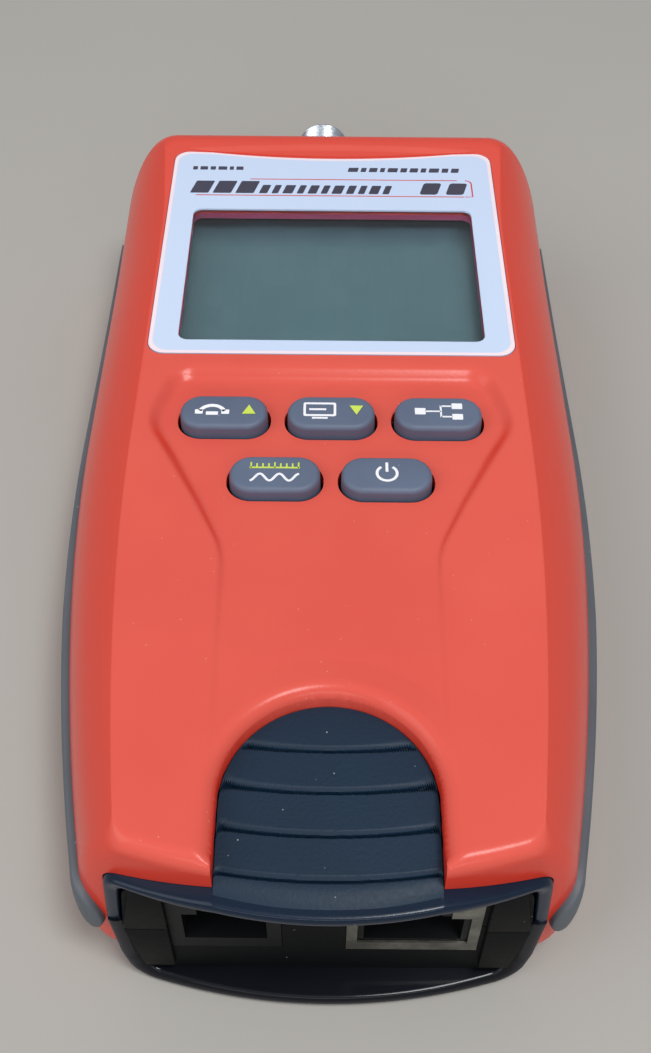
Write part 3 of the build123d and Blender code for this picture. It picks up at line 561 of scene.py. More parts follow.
def makeFrontShell():
    shares = np.sin(np.linspace(0, math.pi / 2, 26)) ** 0.9
    outer = shellSkin(0.0, shares, 74)
    inner = shellSkin(case["wall"], np.linspace(0, 1, 7), 10)
    shell = hollowShell("frontShell", outer, inner)
    cutters = keyCutters()
    cutters.append(archCutter(arch["gap"]))
    cutters.append(prismCutter("windowCutter", windowLoop(0.0), 20, case["deckZ"] + 3))
    cutters.append(prismCutter("lensCutter", windowLoop(1.25), windowLow[2] - 0.02, case["deckZ"] + 2))
    cutters.append(prismCutter("labelCutter", labelLoop(0.12), labelLow[2], case["deckZ"] + 1))
    cutters.append(frontPrism("shroudCutter", shroudLoop(0.12), case["frontY"] - 6, shroud["panelY"] + 17.1))
    cutWith(shell, cutters)
    return shell


rear = {
    "frontStep": 0.51,
    "doorGap": 0.35,
    "doorTab": 1.4,
    "doorCorner": 1.5,
    "screwHoleR": 3.0,
    "bayHalf": 13.65,
    "bayWall": 1.4,
    "bayNearRoom": 6.0,
    "bayFarRoom": 6.9,
    "bayTop": 20.8,
    "rimLow": 2.3,
    "rimHigh": 3.2,
    "rimWidth": 1.5,
}


def rearSkin(inset, rows, spineRows):
    # Outlines from the seam down the side and round the lower edge, then in to the middle.
    below = np.concatenate([np.linspace(case["seamZ"] - inset, case["rearRound"], 5),
                            case["rearRound"] * (1 - np.sin(np.linspace(0, math.pi / 2, rows))[1:])])
    run = roundRun(case["rearRound"], below) * 0.8
    fallen = (case["seamZ"] - inset - below) / (case["seamZ"] - case["rearRound"])
    setback = rear["frontStep"] * np.clip(fallen, 0, 1)
    outline = caseOutline(
        case["halfWidth"] - inset - run,
        case["taperY"],
        case["sideRadius"] - inset,
        case["farY"] - inset - run,
        case["shellFrontY"] + setback + inset + run,
        np.maximum(case["farCorner"] - inset / 2 - run / 2, 1.0),
        np.maximum(case["frontCorner"] - inset / 2 - run / 2, 1.0),
        0.6,
    )
    z = np.broadcast_to((below + inset)[:, None, None], outline.shape[:2] + (1,))
    skin = np.concatenate([outline, z], -1)
    edge = skin[-1]
    spineY = np.clip(edge[:, 1], edge[:, 1].min() + 26, edge[:, 1].max() - 26)
    spine = np.column_stack([np.zeros(len(edge)), spineY, edge[:, 2]])
    share = np.linspace(0, 1, spineRows + 1)[1:, None, None]
    return np.concatenate([skin, edge[None] * (1 - share) + spine[None] * share])


def screwPlaces():
    # the case screws stand in four groups of vertices, one in each quarter
    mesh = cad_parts["case_screws"].data
    points = np.zeros(len(mesh.vertices) * 3)
    mesh.vertices.foreach_get("co", points)
    points = points.reshape(-1, 3) / mm
    middle = points[:, 1].mean()
    places = []
    for sx in (-1, 1):
        for sy in (-1, 1):
            part = points[(points[:, 0] * sx > 0) & ((points[:, 1] - middle) * sy > 0)]
            places.append((part.min(0) + part.max(0)) / 2)
    return places


def makeRearShell():
    outer = rearSkin(0.0, 14, 6)
    inner = rearSkin(case["wall"], 6, 2)
    shell = hollowShell("rearShell", outer, inner)
    gap = rear["doorGap"]
    edgeY = doorHigh[1] - rear["doorTab"] + gap
    opening = roundedLoop(
        [(doorLow[0] - gap, doorLow[1] - gap), (doorHigh[0] + gap, doorLow[1] - gap),
         (doorHigh[0] + gap, edgeY), (doorLow[0] - gap, edgeY)],
        [rear["doorCorner"]] * 4, 6)
    cutters = [prismCutter("doorCutter", opening, -1, 5)]
    angle = np.linspace(0, 2 * math.pi, 40, endpoint=False)
    for x, y, _ in screwPlaces():
        circle = rear["screwHoleR"] * np.column_stack([np.cos(angle), np.sin(angle)]) + [x, y]
        cutters.append(prismCutter("screwCutter", circle, -1, 5))
    cutters.append(frontPrism("shroudCutter", shroudLoop(0.12), case["frontY"] - 6, shroud["panelY"] + 17.1))
    return cutWith(shell, cutters)


def makeBayWalls():
    # the battery bay's box and the rim that the door rests on, seen when the door is open
    low, high = boxOf("battery")
    half = rear["bayHalf"]
    wall = rear["bayWall"]
    width = rear["rimWidth"]
    near = low[1] - rear["bayNearRoom"]
    far = high[1] + rear["bayFarRoom"]
    edgeY = doorHigh[1] - rear["doorTab"]
    box = boxCutter("bayWalls", (-half - wall, near - wall, 2.0),
                    (half + wall, far + wall, rear["bayTop"] + 0.6))
    hollow = boxCutter("bayCutter", (-half, near, 0.0), (half, far, rear["bayTop"]))
    rim = boxCutter("bayRim", (doorLow[0] - width, doorLow[1] - width, rear["rimLow"]),
                    (doorHigh[0] + width, edgeY + width, rear["rimHigh"]))
    hole = boxCutter("rimCutter", (-half, near + 1.0, 0), (half, edgeY - 1.2, 6))
    return joinPieces("batteryBay", [cutWith(box, [hollow]), cutWith(rim, [hole])])


grip = {
    "farEndFromFar": 13.5,
    "depth": 1.7,
    "low": 11.0,
    "high": 18.6,
    "tipLow": 8.6,
    "tipHigh": 17.6,
    "proud": 1.0,
    "startProud": -0.3,
    "tipProud": 1.5,
    "tipRun": 6.5,
    "riseRun": 85,
    "nearEndRun": 3.6,
    "farEndRun": 2.5,
    "endHalf": 26.9,
}


def gripStrip(name, side):
    # A D-shaped section carried along the case outline: it stands a little proud at the far end, swells
    # towards the front corner and closes in a round fingertip.
    names = ("halfWidth", "taperY", "sideRadius", "farY", "shellFrontY", "farCorner", "frontCorner")
    loop = caseOutline(*[case[name] for name in names])[0]
    half = loop[: len(loop) // 2 + 1]
    kept = half[:, 0] > grip["endHalf"]
    kept &= half[:, 1] < case["farY"] - grip["farEndFromFar"]
    path = half[kept]
    run = np.concatenate([[0], np.cumsum(np.hypot(*np.diff(path, axis=0).T))])
    length = run[-1]
    nearRun, farRun = grip["nearEndRun"], grip["farEndRun"]
    even = np.concatenate([nearRun * (1 - np.cos(np.linspace(0, math.pi / 2, 12))),
                           np.linspace(nearRun, length - farRun, 150)[1:-1],
                           length - farRun * np.cos(np.linspace(0, math.pi / 2, 10))])
    path = np.column_stack([np.interp(even, run, path[:, 0]), np.interp(even, run, path[:, 1])])
    tangent = np.gradient(path, axis=0)
    tangent /= np.hypot(*tangent.T)[:, None]
    normal = np.column_stack([tangent[:, 1], -tangent[:, 0]])
    swell = np.clip(1 - even / grip["tipRun"], 0, 1)
    swell = swell * swell * (3 - 2 * swell)
    low = grip["low"] + (grip["tipLow"] - grip["low"]) * swell
    high = grip["high"] + (grip["tipHigh"] - grip["high"]) * swell
    rise = np.clip((length - even) / grip["riseRun"], 0, 1) ** 1.1
    proud = grip["startProud"] + (grip["proud"] - grip["startProud"]) * rise
    proud += (grip["tipProud"] - grip["proud"]) * swell
    endNear = np.sqrt(np.clip(1 - np.clip(1 - even / nearRun, 0, 1) ** 2, 0.0, 1))
    endFar = np.sqrt(np.clip(1 - np.clip(1 - (length - even) / farRun, 0, 1) ** 2, 0.0, 1))
    close = np.maximum(np.minimum(endNear, endFar), 0.02)
    angle = np.linspace(-math.pi / 2, math.pi / 2, 25)
    across = np.concatenate([np.sign(np.cos(angle)) * np.abs(np.cos(angle)) ** 0.4, [-1, -1]])
    upright = np.concatenate([np.sign(np.sin(angle)) * np.abs(np.sin(angle)) ** 0.85, [1, -1]])
    middle = (low + high) / 2
    outward = np.where(across[None] >= 0, across[None] * (proud * (0.35 + 0.65 * close))[:, None],
                       across[None] * grip["depth"] * close[:, None])
    x = path[:, 0, None] + normal[:, 0, None] * outward
    y = path[:, 1, None] + normal[:, 1, None] * outward
    z = middle[:, None] + upright[None] * ((high - low) / 2 * close)[:, None]
    points = np.stack([x * side, y, z], -1)
    return makeOutward(gridPiece(name, points, closeColumns=True, capStart=True, capEnd=True))


pad = {
    "nearZ": 30.6,
    "farZ": 32.0,
    "bottomZ": 28.6,
    "grooveFromFront": 4.75,
    "groovePitch": 5.2,
    "grooveCount": 4,
    "ramp": 0.8,
    "stepDepth": 0.55,
    "slotDepth": 0.6,
    "slotWidth": 0.22,
    "bow": 1.0,
    "startBehindLip": 1.3,
    "lipFall": 0.15,
    "lipProud": 0.03,
    "frontRun": 2.4,
}


def lipFront(x, upper=True):
    # front edge of each half of the shroud: two bowed lips that meet at the sides
    side = shroud["half"]
    rise = x ** 2 / (2 * shroud["lipRadius"])
    if upper:
        return case["frontY"] + 0.3 + rise
    meet = side ** 2 / (2 * shroud["lipRadius"]) - shroud["lowerSetback"]
    return case["frontY"] + shroud["lowerSetback"] + meet * (x / side) ** 2


def shroudSleeve(name, upper):
    # The wall of one half of the shroud: for each point of the front outline, a path from the back,
    # along the outside, over a rounded rim and back along the inside.
    wall = shroud["upperWall"] if upper else shroud["wall"]
    loop = shroudLoop(0.0, 14)
    inner = shroudLoop(-wall, 14)
    keep = loop[:, 1] > shroud["partingZ"] if upper else loop[:, 1] < shroud["partingZ"]
    start = np.flatnonzero(keep & ~np.roll(keep, 1))[0]
    count = keep.sum()
    index = (start + np.arange(count)) % len(loop)
    loop, inner = loop[index], inner[index]
    parting = shroud["partingZ"] + (0.06 if upper else -0.06)

    def atParting(a, b):
        t = (parting - a[1]) / (b[1] - a[1])
        return a + (b - a) * t

    full, fullInner = shroudLoop(0.0, 14), shroudLoop(-wall, 14)
    before, after = (start - 1) % len(full), (start + count) % len(full)
    loop = np.concatenate([[atParting(full[before], loop[0])], loop, [atParting(loop[-1], full[after])]])
    innerEnds = atParting(fullInner[before], inner[0]), atParting(inner[-1], fullInner[after])
    inner = np.concatenate([innerEnds[:1], inner, innerEnds[1:]])
    rows = []
    for a, b, ia, ib in zip(loop[:-1], loop[1:], inner[:-1], inner[1:]):
        count = max(2, int(np.hypot(*(b - a)) / 0.8))
        t = np.linspace(0, 1, count, endpoint=False)[:, None]
        rows.append(np.concatenate([a + (b - a) * t, ia + (ib - ia) * t], 1))
    rows.append(np.concatenate([loop[-1], inner[-1]])[None])
    rows = np.concatenate(rows)
    front = lipFront(rows[:, 0], upper)
    angle = np.linspace(math.pi, 0, 13)
    inward = (1 + np.cos(angle)) / 2
    rim = shroud["rim"]
    rimY = front[:, None] + rim - np.sin(angle)[None] ** 0.6 * rim
    inwardAll = np.concatenate([[0.0, 0.0], inward, [1.0, 1.0]])
    back = shroud["panelY"] + 17.0
    places = (back, case["frontY"] + 11, shroud["panelY"] + 0.2)
    backY, outsideY, insideY = [np.full((len(rows), 1), place) for place in places]
    y = np.concatenate([backY, outsideY, rimY, insideY, backY], 1)
    x = rows[:, 0, None] * (1 - inwardAll) + rows[:, 2, None] * inwardAll
    z = rows[:, 1, None] * (1 - inwardAll) + rows[:, 3, None] * inwardAll
    points = np.stack([x, y, z], -1)
    return makeOutward(gridPiece(name, points, closeColumns=True, capStart=True, capEnd=True))


panel = {"gap": 0.08, "blockInner": 18.9, "blockTop": 26.6, "blockBottom": 4.4, "blockProud": 0.75}


def makePanel(name, upper):
    # the wall across the shroud, with room for both sockets and raised side panels
    loop = shroudLoop(-shroud["wall"] + 0.05)
    plate = frontPrism(name, loop, shroud["panelY"], shroud["panelY"] + 2)
    near = shroud["panelY"] - 2
    far = shroud["panelY"] + 4
    gap = panel["gap"]
    cutters = []
    for low, high in ((dataLow, dataHigh), (phoneLow, phoneHigh)):
        cutters.append(boxCutter("socketRoom", (low[0] - gap, near, low[2] - gap),
                                 (high[0] + gap, far, high[2] + gap)))
    parting = shroud["partingZ"]
    otherLow, otherHigh = (-5, parting + gap) if upper else (parting - gap, 40)
    cutters.append(boxCutter("otherHalf", (-40, near, otherLow), (40, far, otherHigh)))
    blocks = [cutWith(plate, cutters)]
    wide = shroud["half"] - shroud["wall"] - 0.1
    for side in (-1, 1):
        if upper:
            low, high = parting + 0.1, panel["blockTop"]
            lowOuter, highOuter = wide, shroud["topHalf"] - shroud["wall"] - 1.0
        else:
            low, high = panel["blockBottom"], parting - 0.1
            lowOuter, highOuter = shroud["baseHalf"] - shroud["wall"] + 0.2, wide
        loop = [(panel["blockInner"], low), (lowOuter, low), (highOuter, high), (panel["blockInner"], high)]
        loop = [(x * side, z) for x, z in loop]
        blockY = shroud["panelY"] - panel["blockProud"]
        blocks.append(softPrism(name + "Side", loop, blockY, shroud["panelY"] + 0.5))
    return joinPieces(name, blocks)


def softPrism(name, loop, near, far, edge=0.15):
    # prism along y whose front edge is slightly rounded
    prism = frontPrism(name, loop, near, far)
    softenEdges(prism, edge, 2)
    return applyModifiers(prism)


def makeThumbPad(name):
    # Closed solid over the arch: rows run from the bowed lip to the top of the arch, columns across it.
    # The height falls in four finger steps that bow forwards in the middle, each a short ramp down and
    # a sharp rise, and rolls over at the lip.
    radius = arch["radius"]
    even = np.linspace(-1, 1, 81)
    across = np.sin(even * math.pi / 2) * 0.35 + even * 0.65
    topY = arch["y"] + radius
    roll = [0.0, 0.004, 0.008, 0.014, 0.022, 0.032, 0.044, 0.058]
    rows = np.concatenate([roll, np.linspace(0.075, 1, 240)])
    along = rows[:, None]
    farEdge = arch["y"] + radius * np.sqrt(np.clip(1 - across ** 2, 0, 1))
    x = np.broadcast_to(across * radius, (len(rows), len(across)))
    nearEdge = lipFront(across * radius) + pad["startBehindLip"]
    y = nearEdge[None] + (farEdge - nearEdge)[None] * along
    share = (y - case["frontY"]) / (topY - case["frontY"])
    z = pad["nearZ"] + (pad["farZ"] - pad["nearZ"]) * share
    bow = pad["bow"] * across ** 2
    fade = np.clip((1 - np.abs(across)) / 0.05, 0, 1) * np.clip((farEdge[None] - y) / 0.8, 0, 1)
    for i in range(pad["grooveCount"]):
        grooveY = case["frontY"] + pad["grooveFromFront"] + i * pad["groovePitch"] + bow - 0.4
        past = y - grooveY
        ramp = np.where(past > 0, np.clip(1 - past / pad["ramp"], 0, 1), np.clip(1 + past / 0.14, 0, 1))
        slot = np.clip((pad["slotWidth"] / 2 + 0.12 - np.abs(past - pad["slotWidth"] / 2)) / 0.12, 0, 1)
        z = z - (pad["stepDepth"] * ramp + pad["slotDepth"] * slot) * fade
    # at the front it rolls over to meet the hump of the lip
    past = np.clip((y - nearEdge[None]) / pad["frontRun"], 0, 1)
    hump = shroud["topMidZ"] - pad["lipFall"] * across ** 2 + pad["lipProud"]
    z = z - (z - hump[None]) * (1 - past * (2 - past)) * (past < 1)
    top = np.stack([x, y, z], -1)
    return solidUnder(name, top, pad["bottomZ"])


def solidUnder(name, top, bottomZ):
    # closes a grid of heights with walls down to a flat bottom
    rows, columns = top.shape[:2]
    points = top.reshape(-1, 3)
    faces = gridFaces(rows, columns)
    lastRow = (rows - 1) * columns
    ring = np.concatenate([np.arange(columns), np.arange(1, rows) * columns + columns - 1,
                           lastRow + np.arange(columns - 2, -1, -1), np.arange(rows - 2, 0, -1) * columns])
    bottom = points[ring].copy()
    bottom[:, 2] = bottomZ
    start = len(points)
    k = np.arange(len(ring))
    after = (k + 1) % len(ring)
    faces += np.stack([ring[k], start + k, start + after, ring[after]], -1).tolist()
    faces.append((start + k)[::-1].tolist())
    return makeOutward(addMesh(name, np.concatenate([points, bottom]), faces))


keyShape = {"edge": 0.75, "draft": 0.18, "topDrop": 0.07, "crown": 0.12, "flangeHeight": 1.0}


def makeKey(name):
    # Rounded-rectangle outlines stacked up a drafted wall, round the top edge and in to a slightly
    # crowned top.
    low, high = boxOf(name)
    x, y, _ = (low + high) / 2
    halfX, halfY = keySize(name)
    top = high[2] - keyShape["topDrop"]

    def ring(grow, z):
        a, b = halfX + grow, halfY + grow
        r = min(keys["corner"] + grow, b - 0.01)
        loop = roundedLoop([(x + a * sx, y + b * sy) for sx, sy in quarters], [max(r, 0.05)] * 4, 16)
        return np.column_stack([loop, np.full(len(loop), z)])

    edge = keyShape["edge"]
    flangeTop = low[2] + keyShape["flangeHeight"]
    rows = [ring(1.0, low[2]), ring(1.0, flangeTop), ring(0.0, flangeTop)]
    rows.append(ring(-keyShape["draft"] * 0.5, (low[2] + top) / 2 + 1))
    for angle in np.linspace(0, math.pi / 2, 9):
        rows.append(ring(-keyShape["draft"] - edge * (1 - math.cos(angle)),
                         top - keyShape["crown"] - edge + edge * math.sin(angle)))
    last = rows[-1]
    for share in np.linspace(0, 1, 10)[1:]:
        inner = last.copy()
        left = max(1 - share, 0.001)
        inner[:, 0] = x + (last[:, 0] - x) * left
        inner[:, 1] = y + (last[:, 1] - y) * left
        inner[:, 2] = top - keyShape["crown"] * (1 - share) ** 2
        rows.append(inner)
    cap = gridPiece(name + "_cap", np.array(rows), closeColumns=True, capStart=True, capEnd=True)
    return makeOutward(cap)


def stroke(points, width):
    # closed loop round an open line of points, at half the width on each side
    points = np.array(points, float)
    tangent = np.gradient(points, axis=0)
    tangent /= np.hypot(*tangent.T)[:, None]
    normal = np.column_stack([-tangent[:, 1], tangent[:, 0]]) * width / 2
    return np.concatenate([points + normal, (points - normal)[::-1]])


def arcPoints(x, y, radius, fromDegrees, toDegrees, count=20):
    angle = np.radians(np.linspace(fromDegrees, toDegrees, count))
    return np.column_stack([x + radius * np.cos(angle), y + radius * np.sin(angle)])


def inkPiece(name, loops, bottom, thick=0.03):
    # flat print: each loop is a very thin upright prism, each pair of loops a band between them
    prisms = []
    for k, loop in enumerate(loops):
        if isinstance(loop, tuple):
            top = bottom + thick
            sides = [(loop[0], bottom), (loop[0], top), (loop[1], top), (loop[1], bottom)]
            ring = np.stack([np.column_stack([part, np.full(len(part), z)]) for part, z in sides])
            prisms.append(makeOutward(gridPiece(f"{name}{k}", ring, closeRows=True, closeColumns=True)))
            continue
        prisms.append(prismCutter(f"{name}{k}", np.asarray(loop, float), bottom, bottom + thick))
    piece = joinPieces(name, prisms)
    piece.data.polygons.foreach_set("use_smooth", np.zeros(len(piece.data.polygons), bool))
    return piece


def rectLoop(x, y, halfX, halfY, corner=0.0, slant=0.0):
    loop = np.array([(-halfX, -halfY), (halfX, -halfY), (halfX, halfY), (-halfX, halfY)], float)
    if corner:
        loop = roundedLoop(loop, [corner] * 4, 5)
    loop[:, 0] += loop[:, 1] * slant
    return loop + [x, y]


def keyLegends(name):
    # White and yellow-green marks for one key: a handset, a screen, linked boxes, a ruler over a tone
    # wave, and a ring with a bar. Two keys have an arrow beside the mark.
    x, y, _ = keyMiddle(name)
    white, lime = [], []
    if name == "key_left":
        m = x - 1.6
        white += [stroke(arcPoints(m, y - 1.1, 1.9, 25, 155), 0.55),
                  rectLoop(m - 1.85, y - 0.45, 0.55, 0.42, 0.12),
                  rectLoop(m + 1.85, y - 0.45, 0.55, 0.42, 0.12), rectLoop(m, y - 0.75, 0.85, 0.32, 0.1)]
        lime.append(np.array([(x + 2.6, y - 0.8), (x + 4.5, y - 0.8), (x + 3.55, y + 1.0)]))
    elif name == "key_middle":
        m = x - 1.6
        outer, inner = rectLoop(m, y + 0.2, 2.3, 1.35, 0.3), rectLoop(m, y + 0.2, 1.95, 1.0, 0.12)
        white += [(outer, inner), rectLoop(m, y - 1.5, 1.1, 0.16), rectLoop(m - 0.3, y + 0.2, 1.2, 0.17)]
        lime.append(np.array([(x + 3.55, y - 0.8), (x + 4.5, y + 1.0), (x + 2.6, y + 1.0)]))
    elif name == "key_right":
        white += [rectLoop(x - 2.6, y, 0.75, 0.62, 0.1), rectLoop(x + 2.6, y + 1.05, 0.75, 0.55, 0.1),
                  rectLoop(x + 2.6, y - 1.05, 0.75, 0.55, 0.1), rectLoop(x - 0.8, y, 1.1, 0.13),
                  rectLoop(x + 0.3, y, 0.13, 1.18), rectLoop(x + 1.1, y + 1.05, 0.8, 0.13),
                  rectLoop(x + 1.1, y - 1.05, 0.8, 0.13)]
    elif name == "key_lower_left":
        lime.append(rectLoop(x, y + 0.75, 3.4, 0.13))
        lime += [rectLoop(x - 3.2 + i * 0.8, y + 1.2, 0.11, 0.5 if i % 4 == 0 else 0.32) for i in range(9)]
        t = np.linspace(-3.3, 3.3, 60)
        white.append(stroke(np.column_stack([x + t, y - 1.0 + 0.62 * np.sin(t * 2.4)]), 0.34))
    else:
        white.append(stroke(arcPoints(x, y - 0.1, 1.35, 125, 415, 40), 0.38))
        white.append(rectLoop(x, y + 1.0, 0.19, 0.85, 0.08))
    return white, lime


def makeOverlay():
    sheet = prismCutter("overlaySheet", labelLoop(0.0), labelLow[2] + 0.01, labelHigh[2] - 0.02)
    hole = prismCutter("holeCutter", windowLoop(0.0), labelLow[2] - 2, labelHigh[2] + 2)
    return cutWith(sheet, [hole])


def overlayPrint():
    # Plain bars and rules in place of words: short dashes at both upper corners, a row of slanted dark
    # bars between two thin red rules that end in a rounded bracket.
    farY = labelHigh[1]
    z = labelHigh[2] - 0.02
    dark, red = [], []
    dashX = -24.0
    for width in (0.8, 1.3, 0.9, 1.5, 0.7, 1.2):
        dark.append(rectLoop(dashX + width / 2, farY - 5.1, width / 2, 0.5, 0.1))
        dashX += width + 0.45
    dashX = 2.6
    for width in (1.9, 1.1, 1.6, 1.0, 1.9, 1.3, 1.6, 1.1, 1.9, 1.3, 1.5):
        dark.append(rectLoop(dashX + width / 2, farY - 5.3, width / 2 - 0.1, 0.62, 0.12, 0.2))
        dashX += width + 0.3
    bandY = farY - 10.6
    barX = -23.6
    short = (1.5, 1.2, 1.8, 1.2, 1.6, 1.2, 1.8, 1.4, 1.2, 1.7, 1.2)
    bars = [(3.2, 1.75)] * 3 + [(width, 1.2) for width in short]
    for width, tall in bars:
        dark.append(rectLoop(barX + width / 2, bandY - (1.75 - tall), width / 2 - 0.05, tall, 0.2, 0.28))
        barX += width + 0.62
    dark += [rectLoop(x, bandY - 0.1, 1.5, 1.65, 0.5, 0.28) for x in (16.6, 21.0)]
    red.append(rectLoop(3.6, bandY + 2.35, 17.6, 0.11))
    red.append(rectLoop(-0.4, bandY - 2.35, 22.6, 0.11))
    bracketEnd = [[23.6, bandY - 2.3], [22.4, bandY - 2.35]]
    bracket = np.concatenate([arcPoints(22.6, bandY + 1.35, 1.0, 90, 0, 8), bracketEnd])
    red.append(stroke(bracket, 0.24))
    border = [(labelLoop(-0.05), labelLoop(-0.6))]
    return dark, red, border, z


coax = {"threadR": 4.75, "bore": 3.3, "pitch": 0.794, "depth": 0.42, "chamfer": 0.6}


def makeCoaxBody():
    # Closed profile turned about the connector's axis; outside the nut the radius follows a screw
    # thread that fades out at the chamfered tip.
    farY, tipY = nutHigh[1], coaxHigh[1]
    turns = np.linspace(0, 2 * math.pi, 72, endpoint=False)
    outerY = np.linspace(farY - 0.3, tipY, 120)
    phase = outerY[:, None] / coax["pitch"] - turns[None] / (2 * math.pi)
    wave = np.abs((phase % 1) - 0.5) * 2
    fadeIn = np.clip((outerY - farY) / 0.5, 0, 1) * np.clip((tipY - 0.5 - outerY) / 0.4, 0, 1)
    radius = coax["threadR"] - coax["depth"] * (1 - wave) * fadeIn[:, None]
    radius -= np.clip(outerY - (tipY - coax["chamfer"]), 0, None)[:, None] * 0.8
    backR, backY, shoulderY = coax["threadR"] - 0.8, coaxLow[1], case["farY"] - 2.3
    inner = [(coax["threadR"] - 1.1, tipY), (coax["bore"] + 0.15, tipY), (coax["bore"], tipY - 0.15),
             (coax["bore"], backY), (backR, backY), (backR, backY + 9), (5.9, backY + 9), (5.9, shoulderY),
             (coax["threadR"], shoulderY)]
    radii = np.concatenate([radius, np.array([r for r, _ in inner])[:, None] + np.zeros(len(turns))])
    ys = np.concatenate([outerY, [y for _, y in inner]])
    return turnedPiece("coaxBody", "coax_connector_body", turns, radii, ys)


def makeCoaxNut():
    # Hexagon outlines from face to face of the nut, with the corners cut by a cone at each end, and a
    # round bore.
    turns = np.linspace(0, 2 * math.pi, 96, endpoint=False)
    apothem = (nutHigh[2] - nutLow[2]) / 2
    hexagon = apothem / np.cos((turns + math.pi / 3) % (math.pi / 3) - math.pi / 6)
    low, high = nutLow[1], nutHigh[1]
    half = [(coax["threadR"] + 0.1, 0.0), (apothem - 0.2, 0.0), (apothem + 0.3, 0.25), (9, 0.7)]
    rows = [(r, low + run) for r, run in half] + [(r, high - run) for r, run in reversed(half)]
    radii = np.array([np.minimum(hexagon, r) for r, _ in rows])
    return turnedPiece("coaxNut", "coax_nut", turns, radii, np.array([y for _, y in rows]))


def newGroup(name, inputs, outputs):
    group = bpy.data.node_groups.new(name, "ShaderNodeTree")
    for label, kind, value in inputs:
        socket = group.interface.new_socket(name=label, in_out="INPUT", socket_type=kind)
        socket.default_value = value
    for label, kind in outputs:
        group.interface.new_socket(name=label, in_out="OUTPUT", socket_type=kind)
    return group, group.nodes.new("NodeGroupInput"), group.nodes.new("NodeGroupOutput")


def addNode(tree, kind, **settings):
    node = tree.nodes.new(kind)
    for key, value in settings.items():
        if key in node.inputs:
            node.inputs[key].default_value = value
        else:
            setattr(node, key, value)
    return node


def feed(tree, socket, value):
    # a link from another socket, or a constant
    if isinstance(value, bpy.types.NodeSocket):
        tree.links.new(value, socket)
    else:
        socket.default_value = value


def mathNode(tree, operation, *values):
    node = addNode(tree, "ShaderNodeMath", operation=operation)
    for socket, value in zip(node.inputs, values):
        feed(tree, socket, value)
    return node.outputs["Value"]


def mapRange(tree, value, fromMin=0.0, fromMax=1.0, toMin=0.0, toMax=1.0):
    node = addNode(tree, "ShaderNodeMapRange")
    settings = {"Value": value, "From Min": fromMin, "From Max": fromMax, "To Min": toMin, "To Max": toMax}
    for label, setting in settings.items():
        feed(tree, node.inputs[label], setting)
    return node.outputs["Result"]


def mixColours(tree, factor, first, second):
    node = addNode(tree, "ShaderNodeMix", data_type="RGBA")
    feed(tree, node.inputs["Factor"], factor)
    feed(tree, node.inputs[6], first)
    feed(tree, node.inputs[7], second)
    return node.outputs[2]


def noise(tree, place, scale, detail, roughness=0.5):
    node = addNode(tree, "ShaderNodeTexNoise", Detail=detail, Roughness=roughness)
    feed(tree, node.inputs["Vector"], place)
    feed(tree, node.inputs["Scale"], scale)
    return node.outputs["Fac"]


surfaceOutputs = [
    ("Colour", "NodeSocketColor"),
    ("Roughness", "NodeSocketFloat"),
    ("Height", "NodeSocketFloat"),
]


def makeMouldedGroup():
    # colour that drifts between two shades, fine moulded grain and a few specks of dust
    inputs = [
        ("Main Colour", "NodeSocketColor", (0.5, 0.5, 0.5, 1)),
        ("Second Colour", "NodeSocketColor", (0.4, 0.4, 0.4, 1)),
        ("Patch Scale", "NodeSocketFloat", 60.0),
        ("Grain Scale", "NodeSocketFloat", 2200.0),
        ("Smooth", "NodeSocketFloat", 0.4),
        ("Smooth Spread", "NodeSocketFloat", 0.1),
        ("Dust", "NodeSocketFloat", 0.0),
    ]
    group, start, end = newGroup("mouldedSurface", inputs, surfaceOutputs)
    place = addNode(group, "ShaderNodeTexCoord").outputs["Object"]
    patches = mapRange(group, noise(group, place, start.outputs["Patch Scale"], 3.0, 0.55), 0.3, 0.7)
    blend = mixColours(group, patches, start.outputs["Main Colour"], start.outputs["Second Colour"])
    specks = addNode(group, "ShaderNodeTexVoronoi", Scale=420.0)
    feed(group, specks.inputs["Vector"], place)
    speckAmount = mathNode(group, "MULTIPLY", mapRange(group, specks.outputs["Distance"], 0.05, 0.02),
                           start.outputs["Dust"])
    feed(group, end.inputs["Colour"], mixColours(group, speckAmount, blend, (0.75, 0.72, 0.68, 1)))
    grain = noise(group, place, start.outputs["Grain Scale"], 2.0, 0.6)
    feed(group, end.inputs["Height"], grain)
    offset = mathNode(group, "SUBTRACT", grain, 0.5)
    smooth = start.outputs["Smooth"]
    roughness = mathNode(group, "MULTIPLY_ADD", offset, start.outputs["Smooth Spread"], smooth)
    feed(group, end.inputs["Roughness"], roughness)
    return group


